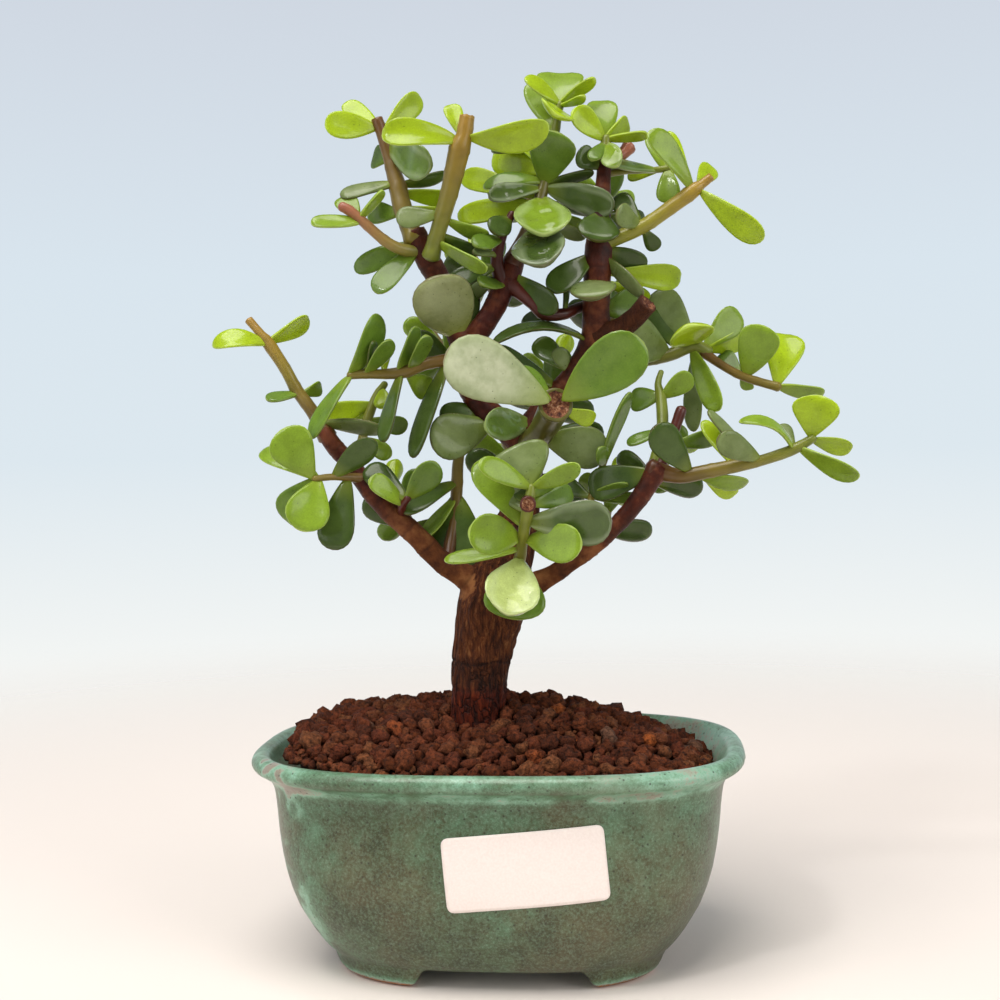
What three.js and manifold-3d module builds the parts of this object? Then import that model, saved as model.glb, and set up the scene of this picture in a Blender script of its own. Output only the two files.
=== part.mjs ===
// Dwarf jade bonsai in its glazed pot, as a three.js scene graph.
// Millimetres, +Z up, the pot's long side along X and its front towards -Y.
import * as THREE from 'three';
import { mergeVertices } from 'three/addons/utils/BufferGeometryUtils.js';
import Module from 'manifold-3d';

const wasm = await Module();
wasm.setup();

// Driving dimensions of the pot.
const RIM_LENGTH = 122;
const RIM_WIDTH = 84;
const RIM_HEIGHT = 52.7;
const LIP_WIDTH = 4.8;
const LIP_HEIGHT = 5.2;
const WALL = 4;
const FLOOR_THICKNESS = 4.5;
const FOOT_HEIGHT = 4.8;
const FOOT_RING = 7.5;
const FOOT_LENGTH = 82;
const FOOT_WIDTH = 63;
const FRONT_ARCH = [-15.5, 21.5];
const END_ARCH = [-11, 11];
const ARCH_SPLAY = 3.5;
const SQUARENESS = 2.9;
const DRAIN_RADIUS = 5.5;
const DRAIN_SPACING = 44;
const DRAIN_SIDES = 20;
const POT_SIDES = 36;

// Driving dimensions of what is in and on the pot.
const GAP = 0.3;
const SOIL_PEAK = 61;
const SOIL_PEAK_Y = 5;
const SOIL_PEAK_SHARPNESS = 1.1;
const SOIL_EDGE = 49.6;
const SOIL_TILT = -0.08;
const SOIL_REACH = 55.4;
const SCREEN_SIDE = 17;
const SCREEN_THICKNESS = 1.2;
const SCREEN_BARS = 5;
const SCREEN_BAR = 1.3;
const SCREEN_PITCH = (SCREEN_SIDE - SCREEN_BAR) / (SCREEN_BARS - 1);
const CLIP_WIRE = 1.1;
const CLIP_TAIL = 9;
const LABEL_LENGTH = 37;
const LABEL_HEIGHT = 17;
const LABEL_THICKNESS = 0.4;
const LABEL_CORNER = 1.6;
const LABEL_TILT = 5;
const LABEL_X = 9.3;
const LABEL_Z = 31;

// The eye that the tree is sighted from: it stands at EYE from the pot's centre and looks along
// +Y, turned left by HEADING, down by DIP and rolled by ROLL degrees.
const EYE = [37.6, -349, 125];
const HEADING = 5.95;
const DIP = 1.93;
const ROLL = 1.04;
const SIGHT = 350;

// A leaf's half width along its length, as a share of its widest, its half thickness (a share of
// its width over a least value), and how far its root reaches back into the stem.
const LEAF_STATIONS = [[0.28, 0.62], [0.62, 1], [0.9, 0.72]];
const BACK_LEAF_STATIONS = [[0.45, 0.9], [0.82, 0.85]];
const LEAF_THICKNESS = 0.13;
const LEAF_THICKNESS_MIN = 0.7;
const LEAF_ROOT = 1.3;
const WOOD_SIDES = 9;
const SHOOT_SIDES = 5;
const WOOD_RADIUS = 2.4;

// The flat side that every stem's first ring turns towards, off the axes so that no stem lies
// along it.
const RING_SIDE = [0.31, 0.17, 0.93];

// How the hidden shoots at the back grow: they taper and bend upwards, and each pair of leaves is
// smaller than the one before.
const BACK_TAPER = 0.4;
const BACK_LIFT = 1.3;
const BACK_TURN = 0.4;
const BACK_SHORTENING = 0.12;

const COLOURS = {
  glaze: [0x4f8270, 0.25],
  paper: [0xf1e9e6, 0.8],
  soil: [0x5e3527, 0.95],
  plastic: [0x2b2b2b, 0.6],
  wire: [0x9a9a9a, 0.4],
  bark: [0x6b4030, 0.85],
  shoot: [0x8a7a35, 0.55],
  leaf: [0x6d9a2e, 0.35],
};

// Every limb of the tree, in the order that it grows. A stem point is [across, up, near, radius]
// and a leaf is [base across, base up, tip across, tip up, tip near, width, turn, arch].
// across and up are millimetres at the trunk's distance from the eye, near is how far the point
// lies in front of the trunk, and a tip's near counts from the leaf's base. turn is how many
// degrees the blade turns about its own length from facing the eye, and arch is how far its
// middle rises, as a share of its length.
const LIMBS = {
  trunk: {
    stem: [[-6.2, -78, 0, 5.2], [-6, -66, 0, 6.6], [-6, -57, 0, 6.4], [-5.2, -47.5, 0, 6.8], [-4.5, -40, 0, 7.1],
      [-3.5, -33, 0, 7.9], [-2.2, -27, 0, 8.5], [-0.5, -21, 0, 8.2], [2.2, -13, -1, 6.4], [4.5, -5, -3, 5.2],
      [5.8, 4, -4, 4.6], [6.2, 12, -4, 4.3], [6, 18, -4, 4.2]],
    leaves: [],
  },
  left_branch: {
    stem: [[-1, -26, 1, 4], [-7.5, -20, 2, 3.3], [-15, -15, 3, 2.8], [-21, -8.8, 4, 2.65], [-27.5, -3, 4, 2.6],
      [-32.5, 2.5, 4, 2.5], [-37, 8.3, 3, 2.3], [-41.5, 13.5, 2, 2.2], [-44.5, 18, 1, 2]],
    leaves: [],
  },
  right_branch: {
    stem: [[2, -26, 1, 4.2], [8, -21.5, 4, 3], [15, -17.5, 6, 2.3], [24, -11, 8, 2.2], [31, -4.3, 9, 2.2],
      [36.3, 2.5, 10, 2.3], [39.3, 7.5, 10, 2.2]],
    leaves: [
      [37, 9, 22, 3, -5, 9, 10],
    ],
  },
  left_leader: {
    stem: [[4.5, 15.5, -4, 3.8], [0, 19.5, -3, 3.4], [-4.5, 23.5, -2, 3.2], [-8.5, 30, -1, 3], [-9.8, 36.5, 0, 2.9],
      [-7, 40, 0, 2.9], [-3.3, 45, 0, 2.8], [0, 51, 0, 2.9], [2.5, 57, 0, 3], [4, 61, 0, 2.5]],
    leaves: [
      [-0.8, 19, -17.3, 14.3, 10, 11.5, 5],
      [-3.8, 22.5, -15, 20.3, 3, 7.5, 10],
      [1, 19, 0, 14.8, 15, 9.5, 0],
      [-7.8, 39.5, -7.8, 54, -3, 5.5, 25],
      [2.3, 57, 14.3, 47.3, 7, 6.5, 20],
      [2, 54, -4.8, 54.2, 9, 6, 55],
    ],
  },
  right_leader: {
    stem: [[6.5, 16, -4, 3.6], [10.5, 22.5, -5, 3], [16.8, 29.5, -4, 2.7], [20.8, 35, -3, 2.9], [23.8, 40.8, -1, 3.6],
      [24, 47.5, 0, 3.4], [24.3, 55, 1, 3.5], [24.6, 63, 1, 3.4], [25, 69, 1, 2.6], [25.5, 75, 0, 2.2],
      [26, 82.5, -1, 1.8], [26.5, 88.5, -1, 1.5]],
    leaves: [
      [21, 62.5, 12.3, 52.3, 5, 7.5, 30],
      [23, 55, 22.8, 50.6, 14, 12.5, 20],
      [21, 41, -2, 39.3, 8, 6.5, 70, 0.16],
      [26.8, 47, 35, 49.3, -5, 9, 0],
      [27, 63, 36.5, 57.8, -4, 7, 10],
      [26.8, 61.5, 35.8, 51, 6, 5.5, 45],
      [27, 57, 45.5, 55.5, -9, 6.5, 5],
      [26.3, 55, 37.5, 50.5, -8, 4, 20],
      [25, 73, 24.3, 65, 8, 10.5, 0],
      [25, 83, 19.3, 86.8, 3, 6, 20],
      [14.5, 28, -0.8, 38.3, 5, 6, 55],
      [18, 32, 8.8, 40, -6, 6, 10],
      [17.5, 31, 14, 38, 3, 4.5, 10],
    ],
  },
  front_stub: {
    stem: [[7, 13.5, -3, 3.6], [10, 16.5, 5, 3.3], [13.2, 22.2, 15, 3.9], [13.9, 23.8, 19, 4.4]],
    leaves: [
      [12.3, 25, -13.5, 37, 9, 15.5, 0],
      [16.5, 23, 35.8, 39.5, 9, 15, 0],
      [15.5, 25.5, 5, 33.5, -4, 4.8, 45],
      [15.5, 22.5, 23.8, 20, -6, 4.5, 20],
      [10.5, 14.5, 26.8, 12, 2, 11, 10],
      [11, 15, 26, 16, -6, 8, 10],
    ],
  },
  cut_stub: {
    stem: [[24, 41, 0, 2.8], [31.3, 43.6, 3, 2.6], [37, 49.2, 5, 2.6]],
    leaves: [],
  },
  upper_left_leader: {
    stem: [[-9.5, 37.5, 0, 2.6], [-11.5, 44, 1, 2.8], [-13.5, 50, 2, 2.9], [-15.5, 55.5, 3, 3], [-18.5, 61, 4, 3],
      [-21.5, 67.3, 4, 2.8]],
    leaves: [
      [-13, 39.5, -16.5, 55.8, 14, 16.5, 0],
      [-24, 62, -31.3, 52, 6, 7, 30],
      [-25, 62.5, -36.5, 57.5, -2, 6, 20],
    ],
  },
  right_outer: {
    stem: [[39.3, 7.3, 10, 2.2], [45, 6, 10, 1.9], [52, 7.2, 11, 1.8], [60, 8.8, 12, 1.7], [65, 9.8, 12, 1.4],
      [73, 12.5, 12, 1.4], [78.3, 15.5, 12, 1.1]],
    leaves: [
      [48, 6.5, 38.5, 18.3, 9, 8.5, 10],
      [65.3, 10, 54.5, 15.5, 7, 7, 5],
      [64.3, 10, 52, 22.5, -3, 5, 60],
      [58.5, 8.5, 50.8, 20, -7, 4, 30],
      [48.8, 6.5, 62, 4, -4, 6, 50],
      [50, 6.5, 58.8, 1, -9, 5, 20],
      [77.8, 15, 79.5, 26, 4, 11.5, 0],
      [74.3, 13, 89.8, 5.5, 5, 6, 40],
      [78, 14.3, 88, 12.5, -5, 5, 30],
      [73, 13.3, 59.8, 19.8, 3, 4.5, 65, 0.2],
      [73.3, 13.5, 70.5, 19, -6, 3.5, 20],
    ],
  },
  left_tip: {
    stem: [[-44, 17.3, 1, 2.1], [-46.8, 22, 1, 1.7], [-50.8, 27.5, 0, 1.6], [-53.8, 33, 0, 1.5], [-58, 39.3, -1, 1.6],
      [-59.8, 41.5, -1, 1.1], [-62.8, 45, -2, 1.1]],
    leaves: [
      [-58.5, 38.5, -72, 38.8, 4, 6.5, 45, 0.1],
      [-57, 39.8, -47.5, 45.3, -4, 6, 45],
      [-50, 27, -58.5, 25.3, 4, 5, 60],
      [-49.3, 26.8, -44.5, 28.3, -5, 4, 20],
      [-44.5, 19.5, -28.8, 17.5, 5, 6, 55],
    ],
  },
  left_low: {
    stem: [[-35, 5.5, 5, 1.2], [-41.3, 5.8, 8, 0.9], [-46.5, 5.3, 10, 0.8]],
    leaves: [
      [-46.8, 5.3, -54.8, 17.5, 4, 11, 0],
      [-45.5, 5.5, -59.8, 12.3, -7, 7, 40],
      [-46, 5.8, -53.5, -5.5, -3, 10, 10],
      [-45, 5.3, -49.8, -7.5, 6, 11, 0],
      [-38, 5.3, -42, -12.5, 3, 9.5, 15],
      [-41.8, 5.8, -31.3, 15, 5, 7, 20],
    ],
  },
  left_side: {
    stem: [[-9.8, 35.5, 1, 1.9], [-13.5, 35, 3, 1.6], [-18.5, 34, 4, 1.5], [-24, 32, 5, 1.6], [-28.5, 31.5, 5, 1.3],
      [-33.5, 31.5, 5, 1.2], [-37.5, 31.2, 5, 1.1]],
    leaves: [
      [-37.8, 31, -47.3, 15.5, 6, 6.5, 60],
      [-37.8, 31.5, -30.3, 46.5, 2, 7.5, 40, 0.12],
      [-33, 32, -31.5, 39.8, 4, 3.5, 55],
      [-36, 32, -33, 37.5, -4, 4, 30],
      [-33.5, 31, -27.3, 40, 6, 5.5, 45],
      [-29, 32, -28.8, 39.5, -7, 3.5, 20],
      [-25.3, 32.5, -20.8, 43.3, 4, 6, 50],
      [-22, 33, -19.8, 41, -3, 4.5, 50],
      [-22.3, 32.5, -18.3, 41, 8, 6, 45],
      [-24.8, 32, -29.3, 14.5, 7, 6, 55],
      [-23.8, 32, -17.3, 26.8, -7, 6, 0],
      [-13, 34.5, -22, 10.5, 5, 6.5, 50],
    ],
  },
  left_inner: {
    stem: [[-35.5, 9, 1, 1.3], [-34, 17, -3, 1.2], [-31.3, 25, -5, 1.2], [-28.8, 29, -5, 0.9]],
    leaves: [
      [-31.5, 24.3, -43.8, 20.5, -2, 6.5, 0],
      [-32.5, 23, -38.3, 19.8, -7, 4.5, 10],
      [-29.5, 28, -29.3, 23, 4, 4.5, 20],
      [-33, 20, -23, 18.3, -3, 5, 20],
      [-34.5, 15.5, -27.3, 11, 3, 5, 10],
    ],
  },
  left_bud: {
    stem: [[-24.5, -4, 4, 1.1], [-24.4, -1.5, 8, 1], [-23, 0.5, 10, 0.9]],
    leaves: [
      [-24.5, -0.8, -32.5, 5.5, 4, 6, 30],
      [-23.8, 0.5, -33.3, 8.5, -5, 7, 20],
      [-23.3, 0.5, -15.8, 9.3, 3, 7.5, 25],
    ],
  },
  inner_left: {
    stem: [[-13, -14, 2, 1.6], [-11.5, -5, -2, 1.5], [-10.8, 2.5, -3, 1.5], [-10.5, 9.3, -2, 1.4], [-9.5, 14, -1, 1]],
    leaves: [
      [-10.8, 2, -11, -17.8, 12, 15, 10],
      [-11.3, 4.5, -24, -3.3, 10, 6.5, 40],
      [-10.8, 1.3, -19.3, -9.5, 6, 5, 45],
    ],
  },
  front_shoot: {
    stem: [[2.5, -22, 6, 2], [4.8, -15, 14, 1.6], [5.5, -11, 17, 1.4], [6, -7.5, 20, 1.5], [7, -2, 23, 1.5], [7.9, 3.3, 23, 1.1]],
    leaves: [
      [7.8, 3, -5.3, 9.5, 5, 6.5, 25],
      [8, 3, 20, 8.5, 5, 5.5, 25],
      [5, -9.8, -7.5, -7.8, 9, 11, 0],
      [6.5, -10, 20.3, -11.3, 9, 10, 0],
      [5.5, -13, 2, -27.8, 13, 15, 0],
      [4, -16, 3.3, -29.8, 5, 16.5, 0],
      [4.8, -12, -14, -15, 1, 5, 45],
      [5.5, -7, -5.5, 10, -5, 8.5, 10],
      [6.5, -3.3, -0.3, 5, -8, 6.5, 10],
      [7, -1.3, 2, 5.5, -12, 5, 10],
      [8, 3, 4, 13.8, -9, 17, 5],
      [9, 0.5, 14, 4.5, 0, 3.5, 40],
      [7.5, -1.3, 18.3, 2, -6, 6, 10],
      [6.5, -5.5, 28, -5.5, 4, 12, 15],
    ],
  },
  front_cut: {
    stem: [[7, -0.8, 25, 1.6], [7, -1.1, 28, 2]],
    leaves: [],
  },
  right_inner: {
    stem: [[23, -12.5, 7, 1.2], [22.8, -4, 6, 1], [22.8, 0.5, 5, 0.9], [25, 7, 3, 0.9], [26.3, 10, 3, 0.7]],
    leaves: [
      [23, 0.8, 35.8, 0.3, -2, 5, 50],
      [22.8, 1.5, 32, 4, 5, 4, 50],
      [26, 8, 32.5, 27, 5, 7, 50],
      [26, 8.5, 25, 13, 5, 4.5, 40],
      [22.8, 0.5, 15, 4.5, -6, 4.5, 10],
    ],
  },
  right_rise: {
    stem: [[38.2, 8, 8, 1.4], [40.5, 17, 5, 1.5], [40.3, 25, 1, 1.4], [39.5, 29, -1, 0.9], [40.3, 32, -2, 0.7]],
    leaves: [
      [39, 25.8, 32.5, 24.5, -5, 6.5, 20],
      [40.3, 25.5, 48, 31.3, 1, 6, 20],
      [38.8, 17.5, 31.8, 14, 2, 4, 40],
    ],
  },
  red_bud: {
    stem: [[39.8, 8, 8, 1.5], [42, 13, 7, 1.4], [45.3, 22.5, 6, 1.4]],
    leaves: [
      [42.5, 13.5, 55.5, 16.3, -5, 5, 25],
    ],
  },
  right_mid: {
    stem: [[21.5, 33.5, -4, 1.8], [30, 34, -8, 1.6], [41.5, 36, -9, 1.6], [48, 38.5, -9, 1.7], [52, 37, -9, 1.5]],
    leaves: [
      [43, 35.5, 30.5, 41.3, 7, 12, 10],
      [45, 37.5, 37.5, 47.8, -2, 6, 20],
      [48.5, 39, 38.8, 52.3, -3, 9, 10],
      [48.5, 39, 47.5, 43, 11, 12.5, 10],
      [48, 37, 54.5, 22.3, 7, 6.5, 25],
      [48.3, 36.8, 48.3, 17, -2, 5, 25],
      [50.8, 38.5, 60, 47, -4, 7.5, 10],
      [50.8, 37.5, 62, 41.3, -8, 6, 35],
      [41, 36.5, 35.8, 43, -7, 3.5, 20],
    ],
  },
  right_far: {
    stem: [[51.5, 36.5, -9, 1.2], [55, 34, -8, 1.1], [60, 31.2, -7, 1.1], [65, 29.5, -6, 1.1], [69.5, 28.3, -5, 1.2]],
    leaves: [
      [61.5, 31, 66, 43.5, 6, 11, 5],
      [69.3, 28.5, 71.3, 41.8, -7, 10, 10],
      [69.5, 28, 81, 26.3, -4, 5.5, 45],
      [60.3, 31.5, 55.3, 36.8, -6, 5, 10],
      [60.5, 31, 62.3, 27.5, -4, 3.5, 20],
    ],
  },
  pink_shoot: {
    stem: [[-20.8, 62, 5, 1.5], [-25, 62.8, 7, 1.5], [-29, 65, 8, 1.4], [-34.5, 69.8, 8, 1.3], [-37.5, 72.3, 8, 1.3],
      [-39.5, 73.3, 8, 1.3]],
    leaves: [
      [-34, 70.5, -47.3, 69.5, 3, 5.5, 50],
      [-34.5, 70.8, -29, 77.3, 3, 4, 55],
      [-34.8, 71, -39.8, 75.8, -5, 6, 20],
    ],
  },
  upper_left: {
    stem: [[-22, 66.5, 4, 2.4], [-24.5, 73.5, 2, 2.4], [-25.5, 78, 1, 2.3], [-27.5, 85, 0, 1.7], [-28.8, 89.5, 0, 1.6],
      [-29.8, 92.5, 0, 1.5], [-30.8, 95.3, 0, 1.5]],
    leaves: [
      [-30.3, 93, -43.8, 94, 4, 7.5, 20],
      [-28.5, 92.5, -38.8, 99.5, -4, 6, 35],
      [-28, 92.5, -19.8, 101, -5, 6, 10],
      [-27.5, 89, -17.5, 83, 10, 9.5, 20],
      [-27.5, 85.5, -31.8, 85.8, -6, 6, 10],
      [-26.5, 79, -40, 76, 3, 5.5, 50],
      [-24.5, 79, -13.3, 81.5, -5, 4.5, 45],
      [-24, 77, -11.3, 75, -8, 5.5, 35],
      [-24.5, 73, -15, 72, -6, 4, 35],
      [-24.5, 71.5, -33.3, 71.8, -6, 5.5, 10],
    ],
  },
  tall_shoot: {
    stem: [[-16.8, 62.5, 8, 2], [-15, 68.8, 10, 2.1], [-12.5, 77.5, 12, 2.3], [-9.8, 88.8, 14, 2.7], [-8.3, 95.8, 15, 1.8]],
    leaves: [
      [-10.8, 90.5, -29.5, 91.5, 5, 8.5, 35, 0.1],
      [-10.5, 90.8, -12.5, 99, -4, 5, 20],
      [-8, 90, 12.3, 93.3, 4, 8.5, 30, 0.08],
      [-14, 70.3, -2.8, 66, -4, 4.5, 40],
      [-16, 64.5, -3.3, 57.5, 6, 5.5, 50],
      [-15.5, 66.8, -5.5, 61.3, -4, 4.5, 30],
      [-14.3, 71.5, -26, 70.3, 1, 6, 30],
    ],
  },
  left_fork: {
    stem: [[0.5, 54.5, 1, 1.9], [-0.8, 60, 3, 1.6], [0.5, 66, 4, 1.3], [3, 71.5, 4, 1]],
    leaves: [
      [-0.8, 58.5, -12.5, 54.5, 3, 6, 30],
      [-0.5, 57, -7.5, 50.5, -6, 4, 20],
      [0.8, 65, -6.5, 63.8, 8, 5.5, 40],
      [-0.8, 61, -6.8, 62, 7, 3, 50],
      [2.5, 70.5, -1.8, 67, 5, 6.5, 15],
    ],
  },
  cross_branch: {
    stem: [[3, 53.5, 1, 1.9], [8.5, 49, 3, 1.7], [11, 46.5, 3, 1.6], [16, 46.5, 1, 1.5], [19, 47.8, -2, 1.4], [24, 49.5, -7, 1.2]],
    leaves: [
      [16, 46.8, 16.5, 55, 0, 2.4, 60],
      [17, 46, 5.3, 44.8, -6, 5, 50],
    ],
  },
  crown: {
    stem: [[3.8, 60.5, 0, 2.4], [6.5, 66, -1, 2], [9, 72, -2, 1.7], [11, 79, -3, 1.5], [13, 87, -3, 1.3], [14, 93, -3, 1.1],
      [15, 99, -3, 1]],
    leaves: [
      [8, 69, 10.8, 59.5, 17, 14, 0],
      [11, 78.5, 14, 92, 10, 12.5, 0],
      [10.8, 77, 10.8, 67.3, 15, 15, 0],
      [13, 88.8, -2.3, 87.5, -1, 5.5, 55],
      [11.5, 81.5, -2, 86, -7, 8, 0],
      [11, 79.5, -4.3, 78.3, 0, 5, 45, 0.08],
      [10.5, 78, -2.8, 75.8, 7, 5.5, 35],
      [9.8, 74.5, -10.8, 70.8, -7, 6, 20],
      [10, 75.5, -9.8, 81, -10, 6, 15],
      [11, 78, 28.5, 73.3, 8, 8.5, 15],
      [11, 78.8, 23.5, 82, 3, 4, 40],
      [9.3, 73, 21, 68, -8, 4.5, 20],
      [8.5, 71, 21.5, 65.5, -2, 3.8, 30],
      [15, 99, 6.3, 105.8, 3, 5, 45],
      [15, 99, 24, 105.3, 3, 4.5, 45],
      [15, 98.5, 15, 107, -8, 11.5, 0],
      [15, 98.3, 14, 97, 11, 9.5, 0],
      [13.5, 92, 7.5, 104.5, -5, 6.5, 10],
      [15, 98.5, 21.3, 100.8, 6, 2.8, 40],
    ],
  },
  right_crown: {
    stem: [[26.4, 87.5, -1, 1.5], [26.5, 90.5, -1, 1.2]],
    leaves: [
      [26.5, 90, 25, 100, -6, 8, 10],
      [26.5, 90, 18.3, 97.5, 5, 7, 25],
      [26.5, 90, 37, 91.3, 3, 4.5, 50],
      [26.5, 90, 32.3, 94.5, -3, 6, 40],
      [26.5, 89.5, 29, 83.5, 7, 6, 10],
      [26.3, 89.5, 22.8, 85, 5, 4, 20],
    ],
  },
  knob_stub: {
    stem: [[26.2, 84, -2, 1.4], [30, 86, -5, 1.5], [32.5, 88.5, -6, 1.8]],
    leaves: [],
  },
  thin_shoot: {
    stem: [[26, 81.5, -2, 0.9], [32.5, 82.3, -5, 0.8], [38.8, 82.5, -7, 0.8], [42.3, 83, -7, 0.9]],
    leaves: [
      [39, 83.3, 28, 84.3, 7, 4, 50],
      [42, 82, 42.3, 74.3, 2, 6.5, 10],
      [41, 83, 38, 91.3, -4, 5.5, 20],
      [42, 83, 46.5, 82, -3, 2.8, 20],
      [40, 82.3, 31.8, 80.8, -5, 3.5, 30],
    ],
  },
  right_upper: {
    stem: [[24.8, 63.8, 1, 1.9], [35, 68, 3, 1.8], [42.5, 73, 4, 1.8], [48.3, 77.3, 5, 1.9], [50.5, 79, 5, 1.2], [52.8, 80.8, 5, 1.1]],
    leaves: [
      [35.5, 68, 29.3, 72.3, 6, 6, 20],
      [36, 68, 28.8, 76, -6, 5.5, 10],
      [36, 67.5, 39.3, 62.5, -4, 4, 10],
      [48.3, 77.5, 37.5, 92.5, 4, 7, 40],
      [49.8, 77, 65.8, 65, 5, 7, 20],
      [49.5, 78, 53, 83.5, -8, 5.5, 10],
      [47.8, 78, 41.8, 92.3, -6, 4, 25],
    ],
  },
};

// Shoots behind the leaders, which the front view hides: each grows from a point on its parent
// towards an end, and carries opposite pairs of leaves. [start, end, radius, pairs, leaf length]
// in the sighted places above.
const BACK_SHOOTS = {
  back_low_left: [[-20, -10, 2], [-27, 5, -32], 1.5, 4, 14],
  back_low_right: [[24, -11, 7], [29, 6, -28], 1.5, 4, 14],
  back_centre_low: [[5, 1, -6], [1, 15, -40], 1.6, 4, 15],
  back_centre: [[8, 19, -5], [15, 36, -38], 1.5, 4, 15],
  back_left: [[-8, 31, -2], [-18, 44, -30], 1.4, 4, 14],
  back_left_high: [[0, 51, -2], [-7, 62, -34], 1.4, 4, 14],
  back_right: [[23, 40, -2], [33, 52, -36], 1.4, 4, 14],
  back_high: [[25, 69, 0], [26, 80, -28], 1.3, 4, 13],
  back_top: [[8, 70, -2], [6, 84, -28], 1.3, 4, 13],
  back_right_low: [[36, 2, 9], [44, 14, -22], 1.4, 3, 13],
};
const BACK_LEAF_RATIO = 0.55;
const BACK_FIRST_NODE = 0.3;
const BACK_LAST_NODE = 0.92;
const BACK_SPREAD = 62;

const radians = (degrees) => degrees * Math.PI / 180;
const vector = (x, y, z) => new THREE.Vector3(x, y, z);

// The sight frame: forward along the eye's look, with across and up rolled about it.
const heading = radians(HEADING);
const dip = radians(DIP);
const roll = radians(ROLL);
const eye = vector(...EYE);
const forward = vector(-Math.sin(heading) * Math.cos(dip), Math.cos(heading) * Math.cos(dip), -Math.sin(dip));
const level = vector(Math.cos(heading), Math.sin(heading), 0);
const above = level.clone().cross(forward);
const across = level.clone().multiplyScalar(Math.cos(roll)).addScaledVector(above, -Math.sin(roll));
const upward = level.clone().multiplyScalar(Math.sin(roll)).addScaledVector(above, Math.cos(roll));

// The share of a sighted length that is left at a depth, and the point sighted there.
const shrink = (near) => 1 - near / SIGHT;
const seen = (a, u, near) => forward.clone().multiplyScalar(SIGHT)
  .addScaledVector(across, a).addScaledVector(upward, u).multiplyScalar(shrink(near)).add(eye);

// A closed skin over rings of points that all have the same count, with a flat cap at each end.
// A ring of one point is a tip.
function skin(rings) {
  const points = rings.flat();
  const starts = rings.map((ring, i) => rings.slice(0, i).reduce((sum, r) => sum + r.length, 0));
  const count = Math.max(...rings.map((ring) => ring.length));
  const faces = [];
  const at = (ring, side) => starts[ring] + side % rings[ring].length;
  for (let ring = 0; ring + 1 < rings.length; ring += 1) {
    for (let side = 0; side < count; side += 1) {
      if (rings[ring].length > 1) faces.push(at(ring, side), at(ring, side + 1), at(ring + 1, side));
      if (rings[ring + 1].length > 1) faces.push(at(ring, side + 1), at(ring + 1, side + 1), at(ring + 1, side));
    }
  }
  [0, rings.length - 1].filter((ring) => rings[ring].length > 1).forEach((ring) => {
    const centre = new THREE.Vector3();
    rings[ring].forEach((point) => centre.addScaledVector(point, 1 / count));
    const middle = points.push(centre) - 1;
    for (let side = 0; side < count; side += 1) {
      const edge = [at(ring, side), at(ring, side + 1)];
      if (ring === 0) edge.reverse();
      faces.push(edge[0], edge[1], middle);
    }
  });
  const geometry = new THREE.BufferGeometry().setFromPoints(points);
  geometry.setIndex(faces);
  return geometry;
}

// Six times the signed volume, which is negative where the faces point inwards.
function signedVolume(position, index) {
  const [a, b, c] = [new THREE.Vector3(), new THREE.Vector3(), new THREE.Vector3()];
  let sum = 0;
  for (let i = 0; i < index.length; i += 3) {
    a.fromBufferAttribute(position, index[i]);
    b.fromBufferAttribute(position, index[i + 1]);
    c.fromBufferAttribute(position, index[i + 2]);
    sum += a.dot(b.cross(c));
  }
  return sum;
}

// A closed geometry as a solid, with its faces turned outwards.
function solid(geometry) {
  const bare = new THREE.BufferGeometry().setAttribute('position', geometry.attributes.position);
  if (geometry.index) bare.setIndex(geometry.index);
  const merged = mergeVertices(bare, 1e-4);
  const triVerts = new Uint32Array(merged.index.array);
  if (signedVolume(merged.attributes.position, triVerts) < 0) triVerts.reverse();
  const vertProperties = new Float32Array(merged.attributes.position.array);
  return new wasm.Manifold(new wasm.Mesh({ numProp: 3, vertProperties, triVerts }));
}

// A finished node: the largest body of the solid, as a mesh of its own material.
function node(name, body, colour) {
  const bodies = body.decompose().sort((a, b) => b.volume() - a.volume());
  const { vertProperties, triVerts, numProp } = bodies[0].getMesh();
  const points = [];
  for (let i = 0; i < vertProperties.length; i += numProp) {
    points.push(vector(vertProperties[i], vertProperties[i + 1], vertProperties[i + 2]));
  }
  const geometry = new THREE.BufferGeometry().setFromPoints(points);
  geometry.setIndex([...triVerts]);
  geometry.computeVertexNormals();
  const [color, roughness] = COLOURS[colour];
  const mesh = new THREE.Mesh(geometry, new THREE.MeshStandardMaterial({ color, roughness, metalness: 0 }));
  mesh.name = name;
  return mesh;
}

// A rounded rectangle's ring at height z, as a superellipse of its half length and half width.
function ovalRing(halfLength, halfWidth, z) {
  return Array.from({ length: POT_SIDES }, (unused, i) => {
    const angle = (i + 0.5) / POT_SIDES * 2 * Math.PI;
    const power = (value, half) => Math.sign(value) * half * Math.abs(value) ** (2 / SQUARENESS);
    return vector(power(Math.cos(angle), halfLength), power(Math.sin(angle), halfWidth), z);
  });
}

// The pot's outside: half length by height. The half width is less by a step that grows evenly
// from the foot to the lip. It waists in at the foot, bellies out and flares to the rolled lip.
const LIP_BASE = RIM_HEIGHT - LIP_HEIGHT;
const FOOT_STEP = (FOOT_LENGTH - FOOT_WIDTH) / 2;
const RIM_STEP = (RIM_LENGTH - RIM_WIDTH) / 2;
const OUTSIDE = [[FOOT_LENGTH / 2 - 1.8, 0], [FOOT_LENGTH / 2 - 0.3, 1.4], [FOOT_LENGTH / 2 + 0.9, 4.6], [43.8, 6.4],
  [46.8, 10.5], [50, 16], [52.8, 24], [54.5, 34], [55.3, 42.5], [55.9, LIP_BASE]];
const LIP = [[59, LIP_BASE + 0.3], [RIM_LENGTH / 2, LIP_BASE + 2.6], [60.3, RIM_HEIGHT - 0.9], [58.6, RIM_HEIGHT],
  [57, RIM_HEIGHT - 0.4], [RIM_LENGTH / 2 - LIP_WIDTH, RIM_HEIGHT - 1.8]];
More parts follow.
